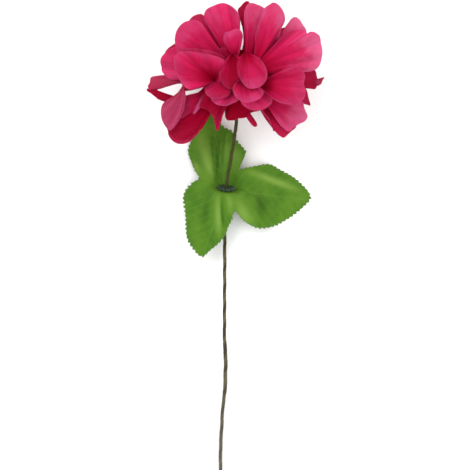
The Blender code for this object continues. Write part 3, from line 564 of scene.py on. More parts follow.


# Front petals in the order in which they lie, from the back ones to the heart. Their shade darkens the low
# and hidden ones and the sheets in gaps and hollows as painted shade; below zero it gives a pale end, partly
# a painted sheen highlight
FRONT_PETALS = [
    # behind the upper left, and the one between the two top left ones, both darkened as painted shade
    Fan((-4, 8, -4), [(-34.8, 21.6), (-38.4, 25.5), (-40.8, 24.3), (-43.2, 22.5), (-45, 19.8),
        (-43.2, 16.8)], (-9, -10, -9), shade=0.7),
    Fan((-3, 10, -2), [(-24, 27.6), (-30.6, 38.4), (-28.8, 41.4), (-25.8, 42.9), (-23.4, 43.2), (-21, 41.4),
        (-17.4, 34.8), (-13.2, 26.4), (-8.4, 19.2)], (-7, -9, -4), shade=0.55),
    # dark sheet behind the foot of the gap, painted shade
    Fan((2, 4, -6), [(-7.2, 19.2), (-4.2, 21.6), (-1.2, 22.2), (1.5, 21.6), (4.8, 23.4), (8.4, 23.4),
        (12, 20.4)], (-4, -5, -4), arch=2, droop=1, shade=1),
    # dark sheets of painted shade below the hollow of the left petal and along its lower side, and in the
    # hollows beside the heart
    Fan((-6, 4, -6), [(-9, 10.5), (-14, 10.5), (-19, 8), (-20.7, 4.2), (-19.5, 0.6), (-14, -2), (-9, -1)],
        (-6, -7, -6), arch=1, droop=1, shade=1),
    Fan((-16, 5, -2), [(-34.8, 1.2), (-33.6, -2.7), (-30, -2.7), (-26.4, -1.9), (-22.2, -0.6), (-18.6, 0.9)],
        (-1, -2, -2), arch=1, droop=0.5, shade=1),
    Fan((-8, 10, 2), [(-15, 17), (-14, 20.5), (-12, 22.5), (-9, 23), (-6.5, 21), (-6, 17)], (6, 7, 6),
        arch=1.5, droop=1, shade=0.7),
    Fan((8, 4, 4), [(14, 9), (18, 9), (21, 6), (21, 1), (18, -3), (14.4, -5.4), (10, -4)], (8, 9, 8), arch=2,
        droop=1, shade=0.9),
    # dark sliver at the top and dark ones at the far right, darkened as painted shade, and a small one behind
    # the right with a pale end of painted sheen
    Fan((8, 13, -4), [(1, 20.4), (1.5, 22.8), (2.1, 26.4), (2, 31.2), (1.5, 35.4), (0.9, 38.4), (0, 41.4),
        (-1.3, 45.6), (0.6, 48), (3, 50.6), (4.8, 51), (6, 49.2), (7.2, 42.6), (8.4, 33.6)], (-6, -13, -10),
        shade=0.8),
    Fan((8, 8, -3), [(23.4, 32.4), (25.5, 34.9), (28.2, 35.1), (29.4, 38.1), (31.2, 40.6), (33.3, 41.4),
        (35.7, 39.9), (37.8, 36.6), (39.9, 33), (39, 28.8)], (-5, -6, -5), shade=(0.8, 0.3, -0.8, -1, -1, -1,
        -0.7)),
    Fan((10, 2, -4), [(39.6, 7.2), (42, 8.4), (45, 9.3), (45.9, 6.6), (46.5, 3), (46.2, 0), (45, -1.8),
        (42.6, -1.4), (40.2, -1.5)], (-8, -9, -8), shade=0.8),
    Fan((35, 1, -10), [(45.3, 3.3), (46.8, 3), (48.3, 4.2), (50.7, 5.3), (49.5, 3.3), (48.6, 1.2),
        (46.8, 0)], (-12, -12, -12), arch=1, droop=0.5, underside=True, shade=0.5),
    Fan((12, -2, -3), [(39.6, -1.5), (40.4, -3.6), (41.1, -7.2), (42.2, -11.7), (39.6, -10.5),
        (37.8, -10.2)], (-9, -10, -9), arch=2, droop=1, shade=0.6),
    # lower right: a deep fold darkened as painted shade, and the pale end over it, partly a painted sheen
    # highlight
    Fan((6, -4, -1), [(13.2, -15), (15, -19.2), (18, -23.4), (21, -27), (24, -30), (26.2, -31.1),
        (28.2, -29.6), (30.6, -27.3), (33.6, -24.6), (33.6, -17.4)], (-5, -7, -6), arch=3, shade=0.6),
    Fan((10, -3, 1), [(22.2, -12), (22.8, -15.6), (22.4, -18.6), (23.1, -21.6), (25.2, -24.6), (28.2, -26.9),
        (30, -27), (32.4, -24.9), (35.4, -22.8), (38.7, -21.3), (40.5, -18.3), (39.3, -15), (38.4, -12.6),
        (38.1, -9.6)], (-1, -2, -1), arch=4, shade=(-0.4, -0.5, -0.3, -0.5, -0.9, -0.3)),
    # left: pale one behind, and the strap that bends back on itself
    Fan((-4, 6, -3), [(-33.6, 20.4), (-37.8, 23.4), (-42, 22.2), (-45, 19.8), (-47.4, 16.8), (-47.8, 14.4),
        (-47.1, 11.4), (-46.8, 9), (-45, 6.3), (-42, 4.2), (-37.8, 3.6)], (-4, -3, -4), shade=0.05),
    Fan((-16, 3, -4), [(-36, 6), (-40.8, 5.9), (-45.6, 5.8), (-50.4, 5.6), (-53.2, 5.5), (-53.9, 4.2),
        (-54.2, 1.8), (-55.4, 0), (-54.9, -1.5), (-52.8, -2.7), (-49.8, -2.3), (-46.2, -1.1), (-42.6, 0),
        (-39.6, 0.9), (-36, 1.5), (-33.6, 0.6)], (-6, -9, -8), arch=1, droop=1, bow=(0, 2), underside=True,
        shade=0.5),
    Fan((-8, -8, -6), [(-36, -6.9), (-38.4, -6), (-42, -5.7), (-46.2, -4.5), (-49.8, -2.4), (-53.4, -1.8),
        (-55.8, -1.5), (-56.1, -2.7), (-54.6, -3.6), (-52.2, -5.4), (-49.2, -7.8), (-46.2, -9), (-42, -9.6)],
        (-7, -10, -9), arch=1, droop=0.5, bow=(0, -3), shade=0.9),
    # lower left: a paler rim under it, then cupped and deep, the inside of the cup darkened as painted shade,
    # its edge rolled over
    Fan((-30, -10, -14), [(-43.2, -25.8), (-42.9, -29.4), (-40.8, -32.7), (-37.8, -34.5), (-34.2, -34.8),
        (-30.6, -33.6), (-27, -30.6), (-24.6, -27.9)], (-10, -11, -10), arch=1, droop=0.5, shade=(0.95, 0.75,
        0.5, 0.45, 0.6, 0.9)),
    Fan((-8, 0, -3), [(-32.4, -5.7), (-37.2, -7.2), (-43.2, -10.8), (-46.2, -15.6), (-45.6, -20.4),
        (-43.5, -26.4), (-42.6, -28.5), (-40.2, -31.2), (-37.6, -32.6), (-34.4, -32.9), (-31, -31.9),
        (-27.6, -29.6), (-23.9, -26.7), (-21, -22.8), (-18.9, -18.6), (-18, -15)], (-3, -4, -4), arch=0,
        cup=2, shade=0.9),
    Fan((-34, 0.5, 2), [(-45, -9), (-46.8, -11.7), (-47.4, -14.4), (-47.4, -17.4), (-46.8, -20.4),
        (-45.3, -23.4), (-43.8, -25.2), (-42, -26.7), (-40.2, -25.2), (-37.8, -22.5), (-36, -19.5),
        (-34.8, -15.9), (-34.5, -14.1)], (1, -1, 3), arch=2.5, droop=1, bow=(1.7, 0.0), underside=True,
        shade=(0.5, 0.35, 0.2, 0.3, 0.35)),
    # its dull upper part over the deep one
    Fan((-8, 0, -1), [(-32.4, -5.7), (-34.2, -8.4), (-34.5, -12.6), (-35, -16.2), (-35.5, -19.4),
        (-32.4, -17.6), (-28.8, -15.9), (-25.2, -13.5), (-21.8, -12.6), (-20.4, -11.4)], (-1, -2, -1),
        arch=1.5, droop=1, shade=(0.6, 0.5, 0.45, 0.5, 0.7), fold=0.7),
    Fan((-6, 0, -1), [(-21.6, -3.6), (-22.8, -7.8), (-24.3, -12.6), (-21.6, -13.5), (-19.2, -14.7),
        (-17.4, -16.8), (-15, -19.2)], (4, 3, 1), arch=2, droop=1, shade=0.9, fold=0.3),
    Fan((-21.3, -2.4, 2), [(-23.8, -11.4), (-25.2, -12.3), (-26.7, -14.1), (-27.9, -15.6), (-27.9, -16.8),
        (-26.7, -16.2), (-25.2, -14.4), (-23.9, -12.9)], (1, 0, 1), arch=1, droop=0.3, underside=True,
        shade=0.0),
    # small ones at the bottom
    Fan((-6, -2, 0), [(-18, -14.4), (-17.4, -16.2), (-15.9, -19.8), (-15, -23.4), (-14.1, -26.4),
        (-13.2, -27), (-12.3, -24), (-11.4, -20.4), (-10.2, -17.4), (-9, -14.4), (-7.2, -10.8)],
        (-2, -6, -2), arch=3, droop=1, shade=0.7),
    Fan((3, -12, -5), [(3.6, -18.6), (5.4, -21), (7.2, -23.4), (9, -24.6), (10.2, -24), (9.9, -22.2),
        (8.4, -20.1), (6.6, -19.2), (5.4, -18)], (-8, -9, -8), arch=1, droop=1, shade=0.6),
    Fan((0, -3, 0), [(-9.6, -12), (-9, -15.6), (-8.7, -18.6), (-7.8, -20.4), (-5.4, -20.7), (-3, -20.4),
        (-1.2, -19.5), (1.8, -19.2), (4.2, -18.6), (5.4, -16.8), (7.2, -15.9), (10.8, -15), (13.2, -14.4)],
        (-3, -5, -3), arch=2, shade=1),
    # top: left, its small flap, the two in the middle
    Fan((-1, 10, 0), [(-14.4, 26.4), (-18.6, 34.8), (-21.6, 40.8), (-20.4, 45.6), (-16.2, 48), (-10.2, 49.8),
        (-5.4, 48), (-1.2, 43.8), (0, 39.6), (-0.3, 34.8), (-1.2, 27.6)], (-2, -4, -1), arch=6),
    Fan((3, 10, 9), [(4.2, 22.8), (3.6, 30), (2.9, 36.6), (2.6, 42), (3, 46.2), (4.8, 49.2), (7.2, 49.9),
        (10.2, 48.9), (12.6, 48), (14.7, 46.5), (16.2, 43.2), (15.6, 36), (13.2, 27.6)], (-3, -4, -3),
        arch=3, shade=(0, -0.1, -0.4, -0.7, -0.7, -0.3)),
    Fan((-3, 15, 5), [(-8.4, 24), (-10.8, 28.8), (-9.6, 31.8), (-6, 32.7), (-2.4, 34.2), (0, 33.6),
        (1.5, 30.6), (0.9, 25.8), (0, 21.6), (-0.9, 18)], (2, 9, 12), arch=3.5),
    Fan((8, 10, 11), [(10.2, 16.8), (9.6, 22.8), (9.3, 28.8), (9.9, 33.6), (11.4, 38.4), (13.2, 43.2),
        (14.7, 46.8), (17.4, 48.6), (19.8, 50.2), (22.8, 48.9), (25.2, 46.2), (26.7, 42.6), (27, 39.6),
        (25.8, 36.6), (24.6, 34.2), (24, 30), (21.6, 24), (18, 16.8)], (8, 3, 0), arch=5, shade=(0, 0, -0.4,
        -0.5, -0.3, 0)),
    # right and left
    Fan((-3, 8, 2), [(-36, 18), (-38.7, 24), (-39, 28.8), (-37.8, 33.6), (-34.2, 37.8), (-30, 39.3),
        (-26.4, 39.3), (-22.8, 37.2), (-19.8, 31.8), (-16.2, 25.2), (-12, 19.8)], (4, 4, 6), arch=6,
        droop=3.5, shade=0.15),
    Fan((5, 8, 7), [(19.2, 18), (22.8, 24), (25.2, 28.8), (27, 31.5), (30.6, 33), (34.8, 33.9), (38.4, 33.6),
        (40.8, 31.2), (42.6, 32.8), (45.6, 31.8), (48, 29.7), (48.5, 25.8), (49.4, 21), (48.9, 16.2),
        (47.7, 12.6), (45.3, 9.9), (41.4, 8.7), (36, 8.4), (30, 7.2)], (4, 7, 6), arch=7, droop=3.5,
        shade=(0.3, 0.3, 0.3, 0.1, -0.7, -1, -0.9, -0.3, 0.1)),
    Fan((-15, 6, 0), [(-7.6, 13), (-8.3, 15.8), (-11.4, 18.8), (-16.2, 20.7), (-22.2, 21.9), (-28.8, 22.5),
        (-34.8, 21.6), (-38.2, 19)], (9, 14, 7), arch=2, shade=(0.8, 0.75, 0.65, 0.45, 0.3), fold=0.5),
    Fan((-15, 3.6, 3), [(-11.6, 0.6), (-10.6, 4.2), (-9, 8.4), (-7.5, 12), (-8.6, 14.6), (-11.8, 16.8),
        (-16.4, 18.3), (-22.2, 19.5), (-28.6, 20.4), (-34.5, 20.6), (-38.4, 19.2), (-39.6, 14.4), (-38.4, 9),
        (-36, 3.6), (-33.6, 0), (-30.6, -2.1), (-26.4, -1.5), (-22.2, -0.3), (-18.6, 1.2)], (11, 19, 9),
        arch=3, droop=3, shade=(0.1, 0.1, 0.25, 0.3, 0.25, 0.1, 0, 0)),
    Fan((8, 1, 5), [(15.6, -3.9), (19.2, -7.2), (22.8, -9.3), (27, -10.7), (31.2, -11), (35.4, -10.2),
        (38.4, -7.2), (39.3, -3), (38.1, 1.2), (39, 6.6), (36.6, 9.9), (32.4, 11.4), (27.6, 10.5),
        (23.4, 7.8)], (18, 21, 15), arch=5, droop=3, shade=(0.3, 0.2, 0.2, 0.2, 0.3, 0.35)),
]
HEART_PETALS = [
    # two pale rims low in the front, and the crimson ones over them
    Fan((-2, 2, 3), [(-15.6, -3.6), (-17.7, -6), (-16.8, -8.7), (-14.4, -10.8), (-11.4, -11.7),
        (-7.8, -11.7), (-4.8, -10.5), (-1.8, -9), (-0.9, -6.6), (-3, -3.6)], (10, 11, 10), arch=3),
    Fan((2, 2, 5), [(1.2, -7.2), (0.6, -9.6), (3, -12.3), (6, -14), (9.6, -14.6), (13.2, -14.3),
        (16.5, -12.6), (19.2, -9.6), (19.5, -7.2), (18, -5.1), (15.6, -4.2)], (13, 14, 13), arch=3),
    Fan((-3, 6, 4), [(-18, 1.8), (-20.4, 0), (-21, -3), (-19.8, -5.4), (-17.4, -6.9), (-13.8, -7.5),
        (-10.2, -7.2), (-7.2, -5.7), (-5.4, -3), (-4.8, 0), (-5.4, 2.4)], (7, 17, 14), arch=3, shade=(0.15,
        0.3, 0.5, 0.55, 0.6)),
    Fan((2, 6, 12), [(-1.2, 2.7), (-3.6, 0.6), (-4.3, -1.8), (-3.6, -4.8), (-1.5, -7.5), (1.2, -9.3),
        (4.8, -9.9), (8.4, -9), (12, -7.5), (13.8, -5.1), (13.8, -2.7), (12.3, -1.2)], (24, 25, 24), arch=4,
        shade=(0.5, 0.45, 0.3, 0.05, 0, 0, 0.1)),
    # the fold on the left of the heart, and the one that closes over it, both from behind it
    Fan((-4, 20, 4), [(-7.8, 16.8), (-10.2, 13.8), (-12, 9.6), (-12.3, 6), (-11.1, 2.4), (-9, -0.3),
        (-6, -1.8), (-3, -1.2), (0, -0.3), (2.4, 1.2), (3, 6), (2.4, 10.8), (1.2, 16)], (9, 21, 22), arch=5,
        droop=2, shade=(0.1, 0.25, 0.55, 0.8, 0.9, 0.8, 0.6, 0.3), fold=1.4, valley=(0.75, 3)),
    Fan((3, 21, 3), [(11.4, 16.8), (13.5, 14.4), (15.3, 11.4), (16.2, 8), (16, 4.5), (14.4, 1.6),
        (11.4, -0.6), (8, -1.5), (5, -1.2), (2.6, 0.8), (0.6, 3.6), (-0.9, 7), (-1.5, 10.5), (-1.5, 14),
        (-0.6, 16.8)], (16, 33, 19), arch=6, droop=3.5, shade=(0.3, 0.35, 0.35, 0.15, 0, 0.2, 0.5, 0.65,
        0.6), fold=1.6, valley=(0.4, 1.5)),
]
# Behind, down to the table
BACK_PETALS = [
    Petal((-26.0, 18.0, -64.0), 26, 0.0, (35, 3), arch=0.6),
    Petal((28.0, 15.0, -64.0), 26, 0.0, (35, 3), arch=0.6),
    Petal((-37.0, 21.0, -30.0), 24, 0.1, (50, 10)),
    Petal((39.0, 15.0, -30.0), 28, 0.1, (50, 10)),
    Petal((-32.0, -24.0, -27.0), 13, 0.0, (50, 10)),
    Petal((37.0, -11.0, -28.0), 24, 0.1, (50, 10)),
    Petal((-25.0, -19.0, -24.0), 18, 0.0, (50, 20)),
    Petal((22.0, -24.0, -18.0), 22, 0.0, (50, 20)),
]
CORE_RADIUS = 7.0
CORE_PROFILE = [                # from the hub
    (9.0, 0), (8.8, 2.2), (8.0, 4.4), (6.5, 5.8), (4.0, 6.7), (0.5, CORE_RADIUS), (-3.0, 6.9), (-5.2, 6.2),
    (-6.0, 5.2), (-6.0, 0),
]

# Back petals: their roots in the core, and their outline in shares of their length and width
ROOT_RADIUS = 5.0
ROOT_LOWEST = -3.5             # along the axis: the outermost layer
ROOT_HIGHEST = 7.0             # and the heart
SLIDE = 0.8                    # how far one slides out along the table, for each mm that it would sink
BASE = 0.32                    # width at the root
WIDEST = 0.72                  # where it is widest
NARROWING = 0.1                # how much narrower its end is
BLUNT = 0.3                    # how far its corners are cut back
NOTCH = 0.02                   # depth of the dip in its end
NOTCH_WIDTH = 0.22
RAGGED_END = [(0.012, 7.0), (0.007, 15.0)]     # (depth, rate)
RAGGED_SIDE = [(0.02, 9.0)]
FOLD_DEPTH = 0.011
HALF_FOLDS = 1.6               # folds in each half of its width
END_WAVES = 1.3                # waves of its end, also in each half
SIDE_WAVES = 2.2               # waves of each side
SIDE_WAVE_SHARE = 0.7          # how high those are, as a share of the ruffle
HEADED_FOR_TIP = 0.15          # how much it already heads for its tip where it leaves the core

# Fans
FAN_START = 0.05               # where the cloth starts, as a share of the way from root to rim
DROOP_START = 0.62             # and where it starts to turn down
VALLEY_WIDTH = 0.07            # as a share of the rim
FOLD_SPACING = 11.0            # length of rim that one of the main folds takes
FULL_RIM = 50.0                # a shorter rim has shallower folds
FAN_FOLD_DEPTH = 0.45
FAN_FOLDS = [(1.0, 1.0), (0.6, 1.73), (0.35, 3.1)]     # (height, rate)
RIM_WAVES = [(1.0, 0.8), (0.5, 2.3)]

# Dye of both kinds
PATTERN_STEP = 17.3            # sets each petal apart in the noise
BACK_DYE_FROM = 0.4            # share of the length from which the back turns to the underside's dye
BACK_DYE_RUN = 0.5             # and over what share, unless the whole back shows


def petal_line(root, bend, tip):
    """Finely spaced points and directions of a back petal's middle line, which starts towards the bend."""
    t = np.linspace(0, 1, 160)[:, None]
    pull = 2 * ((1 - t) * (bend - root) + t * (tip - bend))
    steps = (pull[1:] + pull[:-1]) / 2 * (t[1] - t[0])
    line = root + np.vstack([np.zeros(3), np.cumsum(steps, axis=0)])
    return t[:, 0], line, pull / np.linalg.norm(pull, axis=1, keepdims=True)


def petal_sheet(petal, rows, columns, thickness, ruffle, random):
    """Middle surface of a back petal as a grid from root to tip, with its cloth's coordinates at each point:
    across and along it in millimetres, the share of its length, and the distance to its rim."""
    u, v = np.meshgrid(np.linspace(0, 1, rows), np.linspace(-1, 1, columns), indexing="ij")
    phase = random.uniform(0, 2 * np.pi, 8)
    rise = np.clip(u / WIDEST, 0, 1)
    fall = np.clip((u - WIDEST) / (1 - WIDEST), 0, 1)
    grown = BASE + (1 - BASE) * np.sin(rise * np.pi / 2) ** 1.3 - NARROWING * fall ** 2
    corner = BLUNT * np.abs(v) ** 2.6
    dip = NOTCH * np.exp(-(v / NOTCH_WIDTH) ** 2)
    share = u * (1 - corner - dip + ripples(v, RAGGED_END, phase[:2]) * u)
    half = petal.width / 2 * grown * (1 + ripples(u, RAGGED_SIDE, phase[2:]) * u)

    tip = np.array(petal.tip)
    outward = unit(tip - tip.dot(AXIS) * AXIS)
    root = outward * ROOT_RADIUS + AXIS * (ROOT_LOWEST + (ROOT_HIGHEST - ROOT_LOWEST) * petal.axial)
    chord = unit(tip - root)
    inner = unit(AXIS - AXIS.dot(chord) * chord)
    side = np.cross(chord, inner)
    leave = unit(AXIS * petal.axial + outward * (1 - petal.axial) + HEADED_FOR_TIP * chord)
    bend = root + leave * np.linalg.norm(tip - root) * petal.arch
    t, line, directions = petal_line(root, bend, tip)
    centre = np.stack([np.interp(share, t, line[:, k]) for k in range(3)], axis=-1)
    tangent = np.stack([np.interp(share, t, directions[:, k]) for k in range(3)], axis=-1)
    tangent /= np.linalg.norm(tangent, axis=-1, keepdims=True)
    normal = np.cross(side, tangent)
    normal /= np.linalg.norm(normal, axis=-1, keepdims=True)
    wide = np.cross(tangent, normal)

    # Cross-section: the cloth leans more and more to either side
    lean = np.radians(petal.cup[0] + (petal.cup[1] - petal.cup[0]) * share) * v
    step = half * 2 / (columns - 1)
    middle = columns // 2
    x = np.cumsum(np.cos(lean) * step, axis=1)
    z = np.cumsum(np.sin(lean) * step, axis=1)
    x -= x[:, middle:middle + 1]
    z -= z[:, middle:middle + 1]
    points = HUB + centre + wide * x[..., None] + normal * z[..., None]

    # Soft lengthwise folds and a waving rim
    length = spans(line).sum()
    bent = phase[3] + 0.8 * np.sin(3 * u + phase[4])
    folds = FOLD_DEPTH * petal.width * np.sin(np.pi * u) * np.sin(2 * np.pi * v * HALF_FOLDS + bent)
    end_wave = u ** 4 * np.sin(2 * np.pi * v * END_WAVES + phase[5])
    side_wave = np.abs(v) ** 5 * u * np.sin(2 * np.pi * u * SIDE_WAVES + phase[6] + 2 * np.sign(v))
    points += sheet_normals(points) * (folds + ruffle * (end_wave + SIDE_WAVE_SHARE * side_wave))[..., None]
    sunk = np.clip(thickness / 2 - points[..., 2], 0, None)
    points[..., :2] += unit(outward[:2]) * sunk[..., None] * SLIDE
    points = rest_on_table(points, thickness)
    rim = np.minimum(half * (1 - np.abs(v)), length * (1 - u))
    return points, half * v, share * length, share, rim


def seen_from_camera(points):
    """Moves points in or out from below the camera, so that each looks to be where its x and y say."""
    spread = ((CAMERA_HEIGHT - points[..., 2]) / (CAMERA_HEIGHT - HUB_HEIGHT))[..., None]
    points[..., :2] = (points[..., :2] - BELOW_CAMERA) * spread + BELOW_CAMERA
    return points


def fan_sheet(fan, rows, columns, thickness, ruffle, random):
    """Middle surface of a fan as a grid from root to rim, with the same coordinates as a back petal's."""
    phase = random.uniform(0, 2 * np.pi, 10)
    rim = smooth_line(np.array([(x, y, 0.0) for x, y in fan.rim]), 0.05)[:, :2]
    rim = rim[np.round(np.linspace(0, len(rim) - 1, columns)).astype(int)]
    rim_length = spans(rim).sum()
    u = 1 - (1 - np.linspace(0, 1, rows)[:, None]) ** 1.25     # closer together towards the rim
    v = np.linspace(0, 1, columns)[None, :]
    root = np.array(fan.root[:2])
    flat = root + (rim - root) * (FAN_START + (1 - FAN_START) * u)[..., None]
    flat += np.array(fan.bow) * (4 * u * (1 - u))[..., None]
    first, end, last = fan.heights
    level = (2 * v - 1) * (v - 1) * first + 4 * v * (1 - v) * end + v * (2 * v - 1) * last
    z = fan.root[2] + (level - fan.root[2]) * smooth_step(0.15 + 0.85 * u) ** 0.8
    z = z + fan.arch * np.sin(np.pi * u ** 0.9) * (0.55 + 0.45 * np.sin(np.pi * v))
    z = z + fan.cup * ((2 * v - 1) ** 2 - 0.3) * np.sin(np.pi / 2 * u)
    z = z - fan.droop * (smooth_step((u - DROOP_START) / (1 - DROOP_START)) ** 1.6)
    z = z - fan.valley[1] * u * np.exp(-((v - fan.valley[0]) / VALLEY_WIDTH) ** 2)

    # Folds that follow the pleats, and a waving rim
    turns = 2 * np.pi * v * (rim_length / FOLD_SPACING)
    size = min(rim_length / FULL_RIM, 1.0)
    bent = phase[0] + 1.2 * np.sin(2.2 * u + phase[1])
    folds = ripples(turns, FAN_FOLDS, (bent, phase[2], phase[3]))
    z = z + fan.fold * FAN_FOLD_DEPTH * size * folds * u * np.cos(np.pi / 2 * u ** 4)
    z = z + ruffle * size * u ** 5 * ripples(turns, RIM_WAVES, phase[4:6])
    points = seen_from_camera(np.concatenate([flat, (z + HUB_HEIGHT)[..., None]], axis=-1))
    points = rest_on_table(points, thickness)
    reach = np.linalg.norm(rim - root, axis=1)[None, :]
    across = np.broadcast_to((v - 0.5) * rim_length, (rows, columns))
    share = np.broadcast_to(u, across.shape)
    return points, across, share * reach, share, (1 - share) * reach


def make_petals(name, petals, rows, columns, material, settings, seed):
    """Several petals as one piece. The +normal side of a sheet is the petal's back, so a fan's grid is turned
    over where that doesn't fit what the fan shows."""
    random = np.random.default_rng(seed)
    thickness, ruffle = settings.cloth / MM, settings.ruffle / MM
    all_points, all_faces = [], []
    layers = {key: [] for key in ("cloth", "reach", "rim", "underside", "tone_and_painted_light")}
    for number, petal in enumerate(petals):
        is_fan = isinstance(petal, Fan)
        sheet = fan_sheet if is_fan else petal_sheet
        grid, across, along, share, edge = sheet(petal, rows, columns, thickness, ruffle, random)
        # Shade along the rim: deeper crimson that also paints shade, or a pale end that also paints a sheen
        # highlight
        shades = np.atleast_1d(petal.shade)
        dye_and_painted_light = np.interp(np.linspace(0, 1, columns), np.linspace(0, 1, len(shades)), shades)
        dye_and_painted_light = np.tile(dye_and_painted_light, (rows, 1))
        if is_fan and (sheet_normals(grid)[..., 2].mean() > 0) != petal.underside:
            grid, across, along, share, edge, dye_and_painted_light = (
                layer[:, ::-1] for layer in (grid, across, along, share, edge, dye_and_painted_light))
        points, faces = thick_sheet(grid, thickness)
        all_faces.append(faces + sum(map(len, all_points)))
        all_points.append(points)
        apart = np.full_like(across, PATTERN_STEP * number + seed)
        place = np.stack([across, along, apart], axis=-1).reshape(-1, 3)
        back = np.ones_like(share) if petal.underside else smooth_step((share - BACK_DYE_FROM) / BACK_DYE_RUN)
        sides = {"cloth": (place, place), "reach": (share, share), "rim": (edge, edge),
                 "underside": (back, 0 * share), "tone_and_painted_light": (dye_and_painted_light, dye_and_painted_light)}
        for key, (one, other) in sides.items():
            layers[key] += [one, other] if key == "cloth" else [one.ravel(), other.ravel()]
    attributes = {key: np.concatenate(values) for key, values in layers.items()}
    points, faces = np.concatenate(all_points), np.concatenate(all_faces)
    return make_piece(name, points, faces.tolist(), material, attributes)


class FLOWER_OT_petals(bpy.types.Operator):
    """Petals in their layers, and the core where they meet"""
    bl_idname = "flower.petals"
    bl_label = "Petals"

    def execute(self, context):
        settings = context.scene.flower_bloom
        cloth = petal_cloth(settings)
        # name, petals, rows and columns of each petal's grid, seed
        layers = [("petals_front", FRONT_PETALS, 38, 36, 3), ("petals_heart", HEART_PETALS, 40, 37, 5),
                  ("petals_back", BACK_PETALS, 36, 33, 7)]
        for name, petals, rows, columns, seed in layers:
            piece = make_petals(name, petals, rows, columns, cloth, settings, seed)
            finish_piece(piece, "bloom")
        # The core is coloured as a petal's root, far from any rim, at the deepest crimson, which paints the
        # shade in the bloom's middle
        points, faces = turned(HUB, AXIS, CORE_PROFILE)
        blank = np.zeros(len(points))
        core = make_piece("petal_core", points, faces, cloth, {
            "cloth": points - HUB, "reach": blank + 0.05, "rim": blank + 5, "underside": blank,
            "tone_and_painted_light": blank + 1})
        finish_piece(core, "bloom")
        return {"FINISHED"}


# Leaf

# Edge of the leaf, seen from above: (angle from +X in degrees, distance)
LEAF_EDGE = [
    (54, 13.6), (38, 20.8), (28, 30.4), (19, 34.8), (6, 44.2), (-6.5, 52.5), (-15, 48.5), (-27, 42.6),
    (-40, 37.2), (-52, 31.5), (-61, 24.0), (-69, 15.4), (-73, 16.4), (-79, 20.0), (-86, 23.8),
    (-91, 29.2), (-98, 35.0), (-104, 39.6), (-109, 44.8), (-118, 42.6), (-127, 39.2), (-145, 30.2),
    (-157, 27.8), (-168, 26.6), (-179, 23.8), (171, 20.4), (161, 17.4), (151, 22.0), (144, 26.0), (136, 32.2),
    (125, 36.4), (112, 42.0), (101, 46.0), (97, 42.0), (93, 37.8), (89, 36.2), (84, 35.0), (80.5, 31.2),
    (75, 28.9), (68, 26.9), (61, 25.2), (59, 21.5), (57.5, 17.5),
]
EDGE_OFFSET = 1.7              # the edge is laid out about a point this far above the hole
POINTS_A_TOOTH = 6
LEAF_RINGS = [*np.linspace(0, 0.93, 44), 0.96, 0.985, 1.0]     # from the hole to the edge
TOOTH_PEAK = 0.7               # share of a tooth's pitch that climbs to its tip
UNEVEN_TEETH = [(0.35, 23), (0.2, 41)]         # (share of the depth, waves round the leaf)

# Heights, from the collar's centre
LEAF_DISC = 6.0                # the leaf is square to the stem out to here
LEAF_SPREAD = 12.0             # and lies out flat from here
LEAF_STEP = 5.0                # over the stem on one side, under it on the other
LEAF_HOLE = 3.3
RIGHT_SINK = (22.0, 6.0, 46.0)         # how far a side comes down, from where, over what distance
LEFT_SINK = (11.0, 4.0, 30.0)
FRONT_SINK = (1.5, 8.0, 40.0)
BACK_SINK = (3.5, 8.0, 40.0)
LEFT_BACK_EASE = 0.5           # share of the left side's sink that is lost at the back
TILT_HEIGHT = 1.6              # the right lobe stands higher towards the bloom
TILT_TURN = 2.6                # degrees a millimetre, from level
TILT_PLACE = 6.0               # it is level this far below the collar
TILT_RUN = 20.0                # distance to the right over which it sets in
EDGE_WAVE = 0.35
EDGE_WAVES = 13                # round the leaf

# Veins: the middle one of each lobe (direction, length), and its ribs
LOBES = [(101, 46.0), (-6.5, 52.5), (-109, 44.8)]
VEIN_WIDTH = 0.45
VEIN_START = 4.0               # distance over which a middle vein sets in
VEIN_END = 6.0                 # and over which it fades at the tip
RIB_WIDTH = 0.38
RIB_DEPTH = 0.7
RIB_SPACING = 5.6
RIB_SLANT = 0.9                # how far a rib runs back for each mm out
RIB_SQUARE = 0.74              # share of the spacing that is left, measured square to the ribs
RIBS_START = (4.0, 6.0)        # how far along the lobe the ribs set in, and over what distance
# The same from the middle of the hole, clear of the collar
FOLDS_START = (5.5, 5.0)
GROOVES_START = (5.0, 3.0)
# Pressed folds: from, to, height (negative for a groove), width. The broad raised ones on the upper lobe also
# paint it paler where the bloom shades it
LEAF_FOLDS = [
    ((-4.8, -6.1), (-4.2, -27.5), 1.0, 2.2), ((-2.9, -6.0), (-1.4, -23.0), -0.8, 1.0),
    ((-11.6, -6.0), (-12.8, -21.4), -0.8, 2.6), ((1.3, -4.0), (3.2, -13.4), 0.6, 1.6),
    ((6.2, 2.5), (16.5, -3.6), -0.6, 0.9), ((7.3, -7.3), (14.7, -20.8), 0.9, 3.6),
    ((19.5, 0.0), (23.2, -17.0), -1.1, 3.6), ((14.7, 11.6), (45.2, 0.0), 1.1, 2.2),
    ((-4.9, 30.5), (-5.5, 6.0), -1.1, 1.4), ((-9.0, 36.7), (-7.3, 12.2), -0.5, 0.9),
    ((-0.6, 38.0), (-2.4, 12.0), -0.5, 0.8), ((-12.8, 24.4), (-8.5, 9.2), 0.8, 2.0),
    ((-19.5, 18.3), (-16.5, 11.0), 0.7, 1.5), ((3.0, 24.0), (1.0, 8.0), -0.5, 1.2),
    ((-14.5, 36.0), (-11.0, 12.0), 0.7, 4.6), ((6.0, 28.0), (6.5, 16.0), 0.6, 3.4),
    ((0.5, 33.0), (-0.5, 16.0), 0.5, 2.2),
]
FOLD_SHARE = 0.8               # share of those heights that is pressed, the rest is only painted as highlight on ridges and shade in grooves
